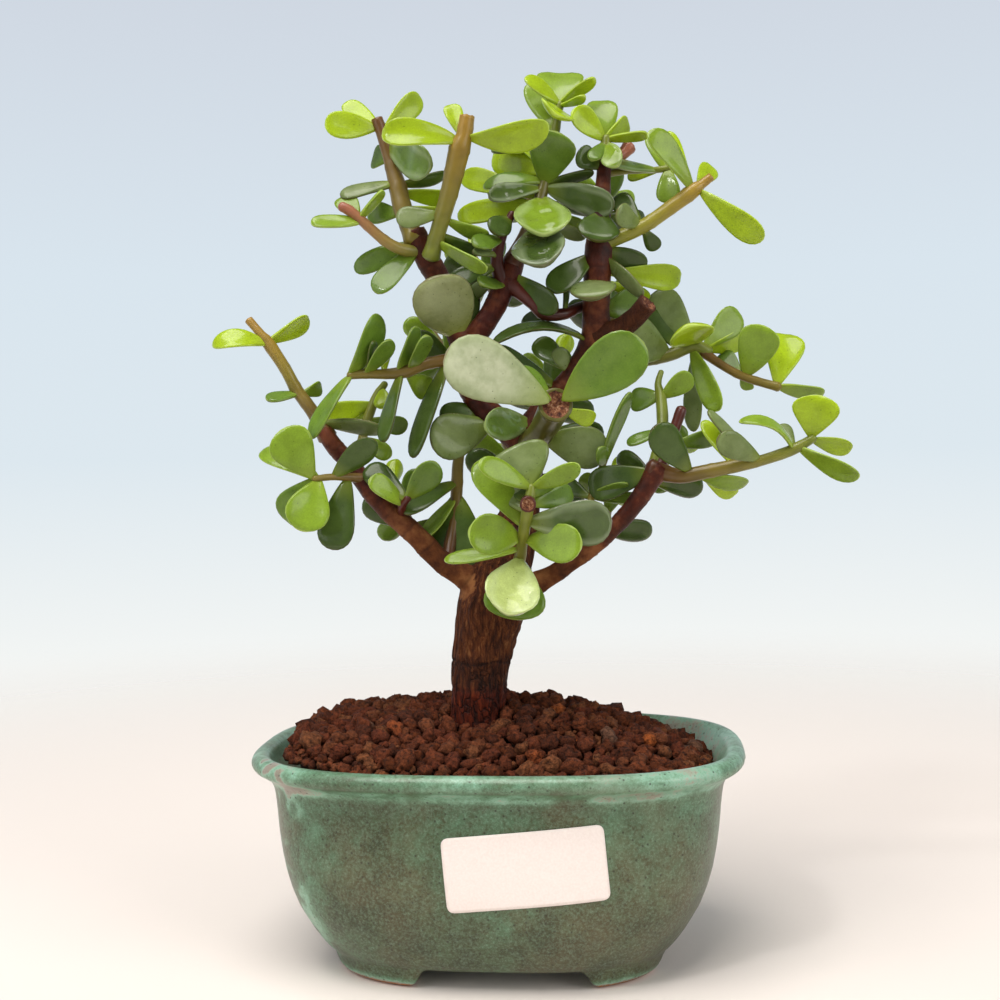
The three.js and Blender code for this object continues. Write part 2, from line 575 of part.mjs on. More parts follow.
const FLOOR = FOOT_HEIGHT + FLOOR_THICKNESS;
const INSIDE = [[55.3 - WALL, 42.5], [54.5 - WALL, 34], [52.8 - WALL, 24], [50 - WALL, 16], [42.5, FLOOR + 1.2], [40.5, FLOOR]];
const widthOf = (halfLength, z) => halfLength - FOOT_STEP - (RIM_STEP - FOOT_STEP) * Math.min(Math.max(z / LIP_BASE, 0), 1);
const potRing = ([halfLength, z]) => ovalRing(halfLength, widthOf(halfLength, z), z);

function box(low, high) {
  const size = high.map((value, i) => value - low[i]);
  const middle = high.map((value, i) => (value + low[i]) / 2);
  return solid(new THREE.BoxGeometry(...size).translate(...middle));
}

function post(radius, x, low, high) {
  const cylinder = new THREE.CylinderGeometry(radius, radius, high - low, DRAIN_SIDES).rotateX(Math.PI / 2);
  return solid(cylinder.translate(x, 0, (low + high) / 2));
}

const DRAINS = { left: -DRAIN_SPACING / 2, right: DRAIN_SPACING / 2 };

// One clay body: the hollow bowl, cut underneath into four corner feet and pierced twice.
function potBody() {
  let body = solid(skin([...OUTSIDE, ...LIP, ...INSIDE].map((ring) => potRing(ring))));
  const recess = [[FOOT_LENGTH / 2 - FOOT_RING, -1], [FOOT_LENGTH / 2 - FOOT_RING, FOOT_HEIGHT]];
  body = body.subtract(solid(skin(recess.map(potRing))));
  const arch = (span, side, corner) => solid(skin([-side, side].map((far) => [
    corner(span[0] - ARCH_SPLAY, far, -0.01), corner(span[1] + ARCH_SPLAY, far, -0.01),
    corner(span[1], far, FOOT_HEIGHT), corner(span[0], far, FOOT_HEIGHT),
  ])));
  body = body.subtract(arch(FRONT_ARCH, RIM_WIDTH, (along, far, z) => vector(along, far, z)));
  body = body.subtract(arch(END_ARCH, RIM_LENGTH, (along, far, z) => vector(far, along, z)));
  Object.values(DRAINS).forEach((x) => {
    body = body.subtract(post(DRAIN_RADIUS, x, 0, FLOOR + 1));
  });
  return body;
}

// A square of plastic mesh that lies on the floor over a drain hole.
function screen(x, extra) {
  const half = SCREEN_SIDE / 2;
  const low = FLOOR + GAP - extra;
  const high = FLOOR + GAP + SCREEN_THICKNESS + extra;
  if (extra > 0) return box([x - half - extra, -half - extra, low], [x + half + extra, half + extra, high]);
  const bars = Array.from({ length: SCREEN_BARS }, (unused, i) => -half + i * SCREEN_PITCH).flatMap((start) => [
    box([x + start, -half, low], [x + start + SCREEN_BAR, half, high]),
    box([x - half, start, low], [x + half, start + SCREEN_BAR, high]),
  ]);
  return bars.reduce((all, bar) => all.add(bar));
}

// The bent wire that holds a screen down: a bridge over the middle bar, two legs through the
// mesh and the drain hole, and a tail bent outwards under the floor from each leg.
function clip(drain, extra) {
  const reach = SCREEN_PITCH / 2;
  const x = drain + reach;
  const wire = CLIP_WIRE / 2;
  const bridge = FLOOR + GAP + SCREEN_THICKNESS + GAP + wire;
  const under = FOOT_HEIGHT - GAP - wire;
  const limb = (low, high) => box(low.map((value) => value - wire - extra), high.map((value) => value + wire + extra));
  const legs = [-reach, reach].map((y) => limb([x, y, under], [x, y, bridge]));
  const tails = [-1, 1].map((side) => {
    const ends = [side * reach, side * (reach + CLIP_TAIL)].sort((a, b) => a - b);
    return limb([x, ends[0], under], [x, ends[1], under]);
  });
  return [limb([x, -reach, bridge], [x, reach, bridge]), ...legs, ...tails].reduce((all, part) => all.add(part));
}

// The granules as one mound that the pot's inside holds: it stands a little proud at the left end
// and rises to a low peak behind the trunk.
function soilBody() {
  const soilRing = (share) => potRing([SOIL_REACH, SOIL_EDGE]).map(({ x, y }) => {
    const edge = SOIL_EDGE + SOIL_TILT * x;
    const rise = (SOIL_PEAK - edge) * (1 - share ** 2) ** SOIL_PEAK_SHARPNESS;
    return vector(x * share, y * share + SOIL_PEAK_Y * (1 - share), edge + rise);
  });
  const mound = solid(skin([potRing([SOIL_REACH, FLOOR]), ...[1, 0.85, 0.68, 0.5, 0.32, 0.15].map(soilRing)]));
  const [lipInside, lipLevel] = LIP[LIP.length - 1];
  const walls = [[lipInside, SOIL_PEAK], [lipInside, lipLevel], ...INSIDE].reverse();
  return mound.intersect(solid(skin(walls.map(([halfLength, z]) => potRing([halfLength - GAP, z + GAP])))));
}

// The sticker lies on the front wall, which leans back and bends, so its back face follows it.
function labelBody() {
  const corner = (x, z, turn) => [0, 1, 2].map((step) => {
    const angle = radians(turn + step * 45);
    return [x + LABEL_CORNER * Math.cos(angle), z + LABEL_CORNER * Math.sin(angle)];
  });
  const [w, h] = [LABEL_LENGTH / 2 - LABEL_CORNER, LABEL_HEIGHT / 2 - LABEL_CORNER];
  const [right, top] = [LABEL_LENGTH / 2, LABEL_HEIGHT / 2];
  const edge = (from, to, steps) => Array.from({ length: steps }, (unused, i) => (
    from.map((value, k) => value + (to[k] - value) * (i + 1) / (steps + 1))));
  const outline = [
    ...corner(w, h, 0), ...edge([w, top], [-w, top], 9),
    ...corner(-w, h, 90), ...edge([-right, h], [-right, -h], 3),
    ...corner(-w, -h, 180), ...edge([-w, -top], [w, -top], 9),
    ...corner(w, -h, 270), ...edge([right, -h], [right, h], 3),
  ];
  const tilt = radians(LABEL_TILT);
  const wall = (x, z) => {
    const i = OUTSIDE.findIndex((ring) => ring[1] > z);
    const share = (z - OUTSIDE[i - 1][1]) / (OUTSIDE[i][1] - OUTSIDE[i - 1][1]);
    const halfLength = OUTSIDE[i - 1][0] + share * (OUTSIDE[i][0] - OUTSIDE[i - 1][0]);
    return -widthOf(halfLength, z) * (1 - Math.abs(x / halfLength) ** SQUARENESS) ** (1 / SQUARENESS);
  };
  const place = (share, off) => outline.map(([x, z]) => {
    const turnedX = LABEL_X + share * (x * Math.cos(tilt) - z * Math.sin(tilt));
    const turnedZ = LABEL_Z + share * (x * Math.sin(tilt) + z * Math.cos(tilt));
    return vector(turnedX, wall(turnedX, turnedZ) - off, turnedZ);
  });
  const back = [0.02, 0.5].map((share) => place(share, GAP));
  const face = [1, 0.5, 0.02].map((share) => place(share, GAP + LABEL_THICKNESS));
  return solid(skin([...back, place(1, GAP), ...face]));
}

// A tapered limb through its points, each a place and a radius.
function stemSolid(points, sides, extra) {
  const start = points[1].place.clone().sub(points[0].place);
  let side = start.clone().cross(vector(...RING_SIDE)).normalize();
  const rings = points.map(({ place, radius }, i) => {
    const before = points[Math.max(i - 1, 0)].place;
    const after = points[Math.min(i + 1, points.length - 1)].place;
    const along = after.clone().sub(before).normalize();
    side = side.addScaledVector(along, -side.dot(along)).normalize();
    const other = along.clone().cross(side);
    const shift = i === 0 ? -extra : (i === points.length - 1 ? extra : 0);
    return Array.from({ length: sides }, (unused, k) => {
      const angle = k / sides * 2 * Math.PI;
      return place.clone().addScaledVector(along, shift)
        .addScaledVector(side, (radius + extra) * Math.cos(angle))
        .addScaledVector(other, (radius + extra) * Math.sin(angle));
    });
  });
  return solid(skin(rings));
}

// A fleshy leaf from base to tip: a thick obovate blade, whose face points along facing.
function leafSolid({ base, tip, facing, width, arch, stations }, extra) {
  const along = tip.clone().sub(base);
  const length = along.length();
  along.normalize();
  const face = facing.clone().addScaledVector(along, -facing.dot(along)).normalize();
  const side = along.clone().cross(face);
  const half = width / 2 + extra;
  const thick = LEAF_THICKNESS_MIN + LEAF_THICKNESS * width / 2 + extra;
  const middle = (share) => base.clone().addScaledVector(along, share * length)
    .addScaledVector(face, arch * length * 4 * share * (1 - share));
  const rings = stations.map(([share, spread]) => {
    const centre = middle(share);
    const rise = thick * Math.sqrt(spread) * (share > 0.8 ? 0.6 : 1);
    return [[half * spread, 0], [0, rise], [-half * spread, 0], [0, -rise]].map(([s, f]) => (
      centre.clone().addScaledVector(side, s).addScaledVector(face, f)));
  });
  const ends = [-(LEAF_ROOT + extra) / length, 1 + extra / length].map((share) => [middle(share)]);
  return solid(skin([ends[0], ...rings, ends[1]]));
}

// The stem's nearest point to a leaf's stated base, so that every leaf grows from its stem.
function onStem(stem, a, u) {
  let best = { distance: Infinity };
  for (let i = 0; i + 1 < stem.length; i += 1) {
    const [from, to] = [stem[i], stem[i + 1]];
    const run = [to[0] - from[0], to[1] - from[1]];
    const share = ((a - from[0]) * run[0] + (u - from[1]) * run[1]) / (run[0] ** 2 + run[1] ** 2);
    const t = Math.min(Math.max(share, 0), 1);
    const place = from.map((value, k) => value + t * (to[k] - value));
    const distance = Math.hypot(place[0] - a, place[1] - u);
    if (distance < best.distance) best = { distance, place };
  }
  return best.place;
}

// A limb's stem points and leaves in space, from its sighted list.
function sightedLimb({ stem, leaves }) {
  const points = stem.map(([a, u, near, radius]) => ({ place: seen(a, u, near), radius: radius * shrink(near) }));
  const blades = leaves.map(([a, u, tipAcross, tipUp, tipNear, width, turn, arch = 0]) => {
    const root = onStem(stem, a, u);
    const near = root[2] + tipNear;
    const base = seen(root[0], root[1], root[2]);
    const tip = seen(tipAcross, tipUp, near);
    const along = tip.clone().sub(base).normalize();
    const sightLine = eye.clone().sub(base);
    const facing = sightLine.addScaledVector(along, -sightLine.dot(along)).normalize();
    facing.applyAxisAngle(along, radians(turn));
    return { base, tip, facing, width: width * shrink(near), arch, stations: LEAF_STATIONS };
  });
  return { points, blades };
}

// A hidden shoot: opposite pairs of leaves, each pair turned a right angle from the last, and a
// closing pair at the tip.
function backLimb([start, end, radius, pairs, leafLength]) {
  const [from, to] = [seen(...start), seen(...end)];
  const run = to.clone().sub(from);
  const alongShoot = (share) => from.clone().addScaledVector(run, share).setZ(from.z + run.z * share ** BACK_LIFT);
  const points = [0, 0.5, 1].map((share) => ({ place: alongShoot(share), radius: radius * (1 - BACK_TAPER * share) }));
  const along = run.clone().normalize();
  const side = along.clone().cross(vector(0, 0, 1)).normalize();
  const blades = [];
  for (let pair = 0; pair < pairs; pair += 1) {
    const share = BACK_FIRST_NODE + (BACK_LAST_NODE - BACK_FIRST_NODE) * pair / (pairs - 1);
    const base = alongShoot(share);
    [0, Math.PI].forEach((half) => {
      const out = side.clone().applyAxisAngle(along, half + pair * Math.PI / 2 + BACK_TURN);
      const spread = radians(pair === pairs - 1 ? BACK_SPREAD / 2 : BACK_SPREAD);
      const length = leafLength * (1 - BACK_SHORTENING * pair);
      const reach = along.clone().multiplyScalar(Math.cos(spread)).addScaledVector(out, Math.sin(spread));
      const facing = along.clone().multiplyScalar(Math.sin(spread)).addScaledVector(out, -Math.cos(spread));
      const tip = base.clone().addScaledVector(reach, length);
      blades.push({ base, tip, facing, width: length * BACK_LEAF_RATIO, arch: 0, stations: BACK_LEAF_STATIONS });
    });
  }
  return { points, blades };
}

// A limb as one body, grown on every side by extra where its neighbours must keep clear of it.
function limbSolid({ points, blades }, extra) {
  const sides = Math.max(...points.map(({ radius }) => radius)) > WOOD_RADIUS ? WOOD_SIDES : SHOOT_SIDES;
  return blades.reduce((body, blade) => body.add(leafSolid(blade, extra)), stemSolid(points, sides, extra));
}

const plant = new THREE.Group();
const limbs = {};
Object.entries(LIMBS).forEach(([name, limb]) => {
  limbs[name] = sightedLimb(limb);
});
Object.entries(BACK_SHOOTS).forEach(([name, limb]) => {
  limbs[name] = backLimb(limb);
});

// Each limb gives way to the ones before it, so that two never share the same space.
const kept = [];
const touching = (a, b) => {
  const [first, second] = [a.boundingBox(), b.boundingBox()];
  return [0, 1, 2].every((i) => first.min[i] < second.max[i] && second.min[i] < first.max[i]);
};
Object.entries(limbs).forEach(([name, limb]) => {
  const whole = limbSolid(limb, 0);
  const body = kept.filter((other) => touching(other, whole)).reduce((left, other) => left.subtract(other), whole);
  kept.push(limbSolid(limb, GAP));
  const wooden = limb.points[0].radius > WOOD_RADIUS;
  plant.add(node(name, body, wooden ? 'bark' : 'leaf'));
});

let soil = soilBody().subtract(kept[0]);
Object.entries(DRAINS).forEach(([side, x]) => {
  soil = soil.subtract(screen(x, GAP)).subtract(clip(x, GAP));
  plant.add(node('screen_' + side, screen(x, 0), 'plastic'));
  plant.add(node('clip_' + side, clip(x, 0), 'wire'));
});
plant.add(node('soil', soil, 'soil'));
plant.add(node('pot', potBody(), 'glaze'));
plant.add(node('label', labelBody(), 'paper'));

// The whole stands with the middle of its footprint's box over the origin.
const bounds = new THREE.Box3().setFromObject(plant);
const middle = bounds.getCenter(new THREE.Vector3());
plant.position.set(-middle.x, -middle.y, -bounds.min.z);

const bonsai = new THREE.Group();
bonsai.add(plant);
export default bonsai;
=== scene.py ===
import math
import random
import bmesh
import bpy
from mathutils import Matrix, Quaternion, Vector, kdtree, noise


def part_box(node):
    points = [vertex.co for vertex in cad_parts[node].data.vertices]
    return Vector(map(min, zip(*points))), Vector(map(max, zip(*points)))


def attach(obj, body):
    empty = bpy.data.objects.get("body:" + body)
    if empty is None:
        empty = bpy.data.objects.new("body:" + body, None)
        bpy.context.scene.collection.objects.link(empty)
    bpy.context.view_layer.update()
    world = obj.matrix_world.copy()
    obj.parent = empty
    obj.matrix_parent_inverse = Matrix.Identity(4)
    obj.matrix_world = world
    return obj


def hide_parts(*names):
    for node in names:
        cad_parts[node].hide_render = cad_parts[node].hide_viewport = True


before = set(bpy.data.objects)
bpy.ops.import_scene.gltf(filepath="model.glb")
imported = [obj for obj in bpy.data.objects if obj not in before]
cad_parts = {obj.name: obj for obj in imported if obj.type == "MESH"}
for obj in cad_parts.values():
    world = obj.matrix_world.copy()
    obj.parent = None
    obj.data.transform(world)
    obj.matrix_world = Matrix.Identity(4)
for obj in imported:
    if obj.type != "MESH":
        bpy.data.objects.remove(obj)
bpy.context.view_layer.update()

# The pot is one body of slip-cast stoneware: a rounded rectangle with a thick rolled lip, a belly
# that waists in to four low bracket feet, and two drain holes. It is dipped in a celadon glaze
# down to the feet, whose wiped undersides show the terracotta clay.
MM = 0.001
RIM_LENGTH, RIM_WIDTH = 122, 84
FOOT_LENGTH, FOOT_WIDTH, FOOT_HEIGHT, FOOT_RING = 82, 63, 4.8, 7.5
FRONT_ARCH, END_ARCH, ARCH_SPLAY = (-15.5, 21.5), (-11, 11), 3.5
LIP_BASE = 47.5
SQUARENESS = 2.9
DRAINS = {"left": -22, "right": 22}
DRAIN_RADIUS = 5.5
DRAIN_DEPTH, DRAIN_MIDDLE = 20, 8
GLAZE_GRID, GLAZE_RELAXING = 0.75, 6
# The pot's outline, from the underside of its foot up round the lip and down the inside to the
# floor: the half length and the height of each turn, in millimetres.
POT_SKIN = [
    (39, 0), (40, 0.6), (40.7, 1.4), (41.3, 3), (41.9, 4.6), (42.7, 5.5), (43.8, 6.4), (45.2, 8.2),
    (46.8, 10.5), (48.4, 13.2), (50, 16), (51.6, 20), (52.8, 24), (53.8, 29), (54.5, 34), (54.9, 38.5),
    (55.3, 42), (55.7, 44.3), (56.4, 46), (57.5, 47.2), (58.9, 48), (60, 48.7), (60.7, 49.5), (61, 50.4),
    (60.8, 51.3), (60.2, 52.1), (59.3, 52.6), (58.4, 52.7), (57.5, 52.5), (56.8, 51.9), (56.3, 51),
    (55.6, 49.4), (54, 46.5), (52.3, 43.5), (50.8, 36), (49.4, 28), (47.6, 21), (45.6, 15.5), (43.4, 11),
    (41.5, 9.5), (39, 9.3), (30, 9.3), (20, 9.3), (13, 9.3),
]
pot_low, pot_high = (Vector(corner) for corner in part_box("pot"))
POT_PLACE = Vector(((pot_low.x + pot_high.x) / 2, (pot_low.y + pot_high.y) / 2, pot_low.z))


def wall_half_length(z):
    """The half length of the pot's outside at a height, in millimetres."""
    above = next((i for i, station in enumerate(POT_SKIN) if station[1] > z), len(POT_SKIN) - 1)
    (low, z0), (high, z1) = POT_SKIN[max(above - 1, 0)], POT_SKIN[above]
    return low + (high - low) * min(max((z - z0) / (z1 - z0), 0), 1) if z1 > z0 else low


def pot_half_width(half_length, z):
    """The pot's half width where it is this long: the ends and the sides waist in differently."""
    foot_step = (FOOT_LENGTH - FOOT_WIDTH) / 2
    rim_step = (RIM_LENGTH - RIM_WIDTH) / 2
    return half_length - foot_step - (rim_step - foot_step) * min(max(z / LIP_BASE, 0), 1)


def extrude_ring(bm, edges):
    """Grows a new ring from the edges of an open end, and returns its vertices and its own edges."""
    grown = bmesh.ops.extrude_edge_only(bm, edges=edges)["geom"]
    made = [g for g in grown if isinstance(g, bmesh.types.BMVert)]
    fresh = set(made)
    return made, [g for g in grown if isinstance(g, bmesh.types.BMEdge) and fresh.issuperset(g.verts)]


def loft(bm, sides, rings, squareness=2, capped=True):
    """Extrudes one round or squarish unit ring from frame to frame, and may close both ends."""
    made = bmesh.ops.create_circle(bm, segments=sides, radius=1)["verts"]
    for v in made:
        turn = math.atan2(v.co.y, v.co.x)
        v.co = [math.copysign(abs(f(turn)) ** (2 / squareness), f(turn)) for f in (math.cos, math.sin)] + [0]
    edges = list({e for v in made for e in v.link_edges})
    bmesh.ops.transform(bm, matrix=rings[0], verts=made)
    everything = list(made)
    if capped:
        bmesh.ops.edgeloop_fill(bm, edges=edges)
    for before, after in zip(rings, rings[1:]):
        made, edges = extrude_ring(bm, edges)
        bmesh.ops.transform(bm, matrix=after @ before.inverted(), verts=made)
        everything += made
    if capped:
        bmesh.ops.edgeloop_fill(bm, edges=edges)
    return everything, edges


def new_object(name, bm, materials=()):
    """Turns a bmesh into an object at the origin."""
    mesh = bpy.data.meshes.new(name)
    bm.to_mesh(mesh)
    bm.free()
    for material in materials:
        mesh.materials.append(material)
    made = bpy.data.objects.new(name, mesh)
    bpy.context.collection.objects.link(made)
    return made


def finish_piece(bm, name, materials, stands_for=(), sided=False):
    """Makes a smooth piece that rides on the one body. sided says that its faces point outwards."""
    if not sided:
        bmesh.ops.recalc_face_normals(bm, faces=bm.faces)
    piece = new_object(name, bm, materials)
    piece.data.shade_smooth()
    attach(piece, "root")
    if stands_for:
        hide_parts(*stands_for)
    return piece


def remesh_finely(piece, grid, rounds):
    """Bakes a piece's modifiers, then a fine even mesh and rounds of relaxing, into its mesh."""
    skin = piece.modifiers.new("skin", "REMESH")
    skin.mode, skin.voxel_size = "VOXEL", grid * MM
    relax = piece.modifiers.new("relax", "SMOOTH")
    relax.factor, relax.iterations = 0.5, rounds
    baked = bpy.data.meshes.new_from_object(piece.evaluated_get(bpy.context.evaluated_depsgraph_get()))
    piece.modifiers.clear()
    piece.data = baked
    baked.shade_smooth()


def linear(code, alpha=1):
    """An sRGB hex colour as linear red, green and blue."""
    parts = [int(code[i:i + 2], 16) / 255 for i in (1, 3, 5)]
    return [p / 12.92 if p <= 0.04045 else ((p + 0.055) / 1.055) ** 2.4 for p in parts] + [alpha]


def feed(node, inputs):
    """Feeds a node's inputs, by name or number, from a node, from one output of a node or a value."""
    for key, source in inputs.items():
        if isinstance(source, bpy.types.Node):
            source = next(output for output in source.outputs if output.enabled)
        if isinstance(source, bpy.types.NodeSocket):
            node.id_data.links.new(source, node.inputs[key])
        else:
            node.inputs[key].default_value = source


def add_node(owner, kind, inputs=None, stops=(), **settings):
    """Adds one node. A ramp's stops are each a place and a hex colour or a grey level.

    By number, MapRange takes from low, from high, to low and to high as 1 to 4, and Mix takes its
    two colours as 6 and 7.
    """
    node = owner.node_tree.nodes.new("ShaderNode" + kind)
    for key, value in settings.items():
        setattr(node, key, value)
    while stops and len(node.color_ramp.elements) < len(stops):
        node.color_ramp.elements.new(0.5)
    for element, (place, colour) in zip(node.color_ramp.elements if stops else (), stops):
        element.position = place
        element.color = linear(colour) if isinstance(colour, str) else [colour] * 3 + [1]
    feed(node, inputs or {})
    return node


def new_material(name):
    """A node material, its shader, and the place on the piece that its patterns read."""
    material = bpy.data.materials.new(name)
    material.use_nodes = True
    place = add_node(material, "TexCoord").outputs["Object"]
    return material, material.node_tree.nodes["Principled BSDF"], place


# Celadon glaze, dipped and reduction fired: a green glass under a millimetre thick. It is dark
# where it lies deep, breaks to mint on the rim and to lilac tan where it runs thin, and is
# crowded with fine pale flecks and iron specks. The glaze_depth attribute is 0 on bare clay and
# 1 where the glaze is thickest. IOR 1.5, satin gloss.
glaze, shader, place = new_material("celadon glaze on stoneware")
depth = add_node(glaze, "Attribute", attribute_name="glaze_depth")
cloud = add_node(glaze, "TexNoise", {"Vector": place, "Scale": 38, "Detail": 5, "Roughness": 0.6})
fleck = add_node(glaze, "TexNoise", {"Vector": place, "Scale": 1300, "Detail": 3, "Roughness": 0.8})
cloud_part = add_node(glaze, "MapRange", {"Value": cloud, 1: 0.25, 2: 0.75, 3: -0.26, 4: 0.26})
fleck_part = add_node(glaze, "MapRange", {"Value": fleck, 1: 0.25, 2: 0.75, 3: 0.15, 4: -0.15})
# Mottling 4 to 6 mm across, where the glaze ran and gathered.
mottle = add_node(glaze, "TexNoise", {"Vector": place, "Scale": 190, "Detail": 4, "Roughness": 0.6})
mottle_part = add_node(glaze, "MapRange", {"Value": mottle, 1: 0.3, 2: 0.7, 3: -0.13, 4: 0.13})
coarse = add_node(glaze, "Math", {0: cloud_part, 1: mottle_part}, operation="ADD")
both = add_node(glaze, "Math", {0: coarse, 1: fleck_part}, operation="ADD")
uneven = add_node(glaze, "Math", {0: depth.outputs["Fac"], 1: both}, operation="ADD")
tone = add_node(glaze, "ValToRGB", {"Fac": uneven}, stops=[
    (0.04, "#8f8074"), (0.16, "#9c9c8c"), (0.27, "#88b29a"), (0.4, "#72997e"), (0.54, "#57795c"),
    (0.7, "#496145"), (0.86, "#40482b"), (1.0, "#30351b")])
stain = add_node(glaze, "TexNoise", {"Vector": place, "Scale": 26, "Detail": 6, "Roughness": 0.7})
stain_amount = add_node(glaze, "ValToRGB", {"Fac": stain}, stops=[(0.46, 0.0), (0.66, 0.55)])
stained = add_node(glaze, "Mix", {"Factor": stain_amount, 6: tone, 7: linear("#645639")},
                   data_type="RGBA")
# Pale crystals that float up in the glaze, 0.2 to 0.6 mm across.
crystal = add_node(glaze, "TexNoise", {"Vector": place, "Scale": 1500, "Detail": 5, "Roughness": 0.8})
crystal_amount = add_node(glaze, "ValToRGB", {"Fac": crystal}, stops=[(0.46, 0.0), (0.66, 0.32)])
frosted = add_node(glaze, "Mix", {"Factor": crystal_amount, 6: stained, 7: linear("#8fb096")},
                   data_type="RGBA")
# Iron specks, 0.3 to 0.8 mm.
speck = add_node(glaze, "TexVoronoi", {"Vector": place, "Scale": 560, "Randomness": 1.0})
speck_size = add_node(glaze, "ValToRGB", {"Fac": speck}, stops=[(0.08, 0.8), (0.2, 0.0)])
specked = add_node(glaze, "Mix", {"Factor": speck_size, 6: frosted, 7: linear("#2b2a1c")},
                   data_type="RGBA")
bare = add_node(glaze, "MapRange", {"Value": depth.outputs["Fac"], 1: 0.06, 2: 0.02})
clay = add_node(glaze, "Mix", {"Factor": bare, 6: specked, 7: linear("#a06c48")}, data_type="RGBA")
gloss = add_node(glaze, "MapRange", {"Value": bare, 3: 0.34, 4: 0.85})
dimple = add_node(glaze, "TexNoise", {"Vector": place, "Scale": 420, "Detail": 4})
relief = add_node(glaze, "Bump", {"Height": dimple, "Strength": 0.35, "Distance": 0.0004})
feed(shader, {"Base Color": clay, "Roughness": gloss, "Normal": relief, "IOR": 1.5})


def pot_ring(half_length, z):
    """The frame of a ring round the pot at a height, where the pot is this long."""
    scale = (half_length * MM, pot_half_width(half_length, z) * MM, MM, 1)
    return Matrix.Translation(POT_PLACE + Vector((0, 0, z * MM))) @ Matrix.Diagonal(scale)


def cutter(name, bm):
    """A tool that carves the pot and is thrown away afterwards."""
    bmesh.ops.recalc_face_normals(bm, faces=bm.faces)
    return new_object(name, bm)


def arch_cutter(span, along_x):
    """A bar with splayed sides that clears the gap between two feet, right through the pot."""
    bm = bmesh.new()
    bmesh.ops.create_cube(bm, size=1)
    for v in bm.verts:
        top = v.co.z > 0
        splay = 0 if top else ARCH_SPLAY
        end = span[1] + splay if v.co.x > 0 else span[0] - splay
        far = math.copysign(RIM_LENGTH, v.co.y)
        level = FOOT_HEIGHT if top else -1
        v.co = POT_PLACE + Vector((end, far, level) if along_x else (far, end, level)) * MM
    return cutter("arch", bm)


bm = bmesh.new()
loft(bm, 160, [pot_ring(*station) for station in POT_SKIN], SQUARENESS)
pot = finish_piece(bm, "glazed_pot", [glaze], ["pot"])
tools = [arch_cutter(FRONT_ARCH, True), arch_cutter(END_ARCH, False)]
bm = bmesh.new()
loft(bm, 96, [pot_ring(FOOT_LENGTH / 2 - FOOT_RING, z) for z in (-1, FOOT_HEIGHT)], SQUARENESS)
tools.append(cutter("recess", bm))
for x in DRAINS.values():
    bm = bmesh.new()
    bmesh.ops.create_cone(bm, cap_ends=True, segments=40, radius1=DRAIN_RADIUS * MM,
                          radius2=DRAIN_RADIUS * MM, depth=DRAIN_DEPTH * MM,
                          matrix=Matrix.Translation(POT_PLACE + Vector((x, 0, DRAIN_MIDDLE)) * MM))
    tools.append(cutter("drain", bm))
for tool in tools:
    cut = pot.modifiers.new("cut", "BOOLEAN")
    cut.operation, cut.object, cut.solver = "DIFFERENCE", tool, "EXACT"
# The glaze rounds every edge, so the carved body is remeshed finely and relaxed.
remesh_finely(pot, GLAZE_GRID, GLAZE_RELAXING)
for tool in tools:
    bpy.data.objects.remove(tool)


def step_up(value, low, high):
    """0 below low, 1 above high, and smooth between them."""
    share = min(max((value - low) / (high - low), 0), 1)
    return share * share * (3 - 2 * share)


# How deep the glaze lies, as a share of the deepest: bare under the feet, thin at the corners and below the
# lip, thin and pale inside, partly as painted light in the shade there, and deep on the body's faces. Drift
# and blotches are where it ran.
BELLY_TOP = 46
DRIFT_SIZE, BLOTCH_SIZE = 14, 3.5
BODY_DEPTH, LOW_BODY_MORE, CORNER_LESS, LEFT_CORNER_LESS = 0.74, 0.22, 0.3, 0.62
BELOW_LIP_LESS, LEFT_BELOW_LIP_LESS = 0.46, 0.2
LIP_LESS, LIP_TOP_LESS, LEFT_LIP_PAINTED_SHADE = 0.22, 0.1, 0.16
INSIDE_DEPTH_WITH_PAINTED_LIGHT, INSIDE_TOP_MORE, INSIDE_DRIFT = 0.26, 0.12, 0.08
FOOT_SHARE, LEAST_DEPTH = 0.45, 0.08
depths = pot.data.attributes.new("glaze_depth", "FLOAT", "POINT")
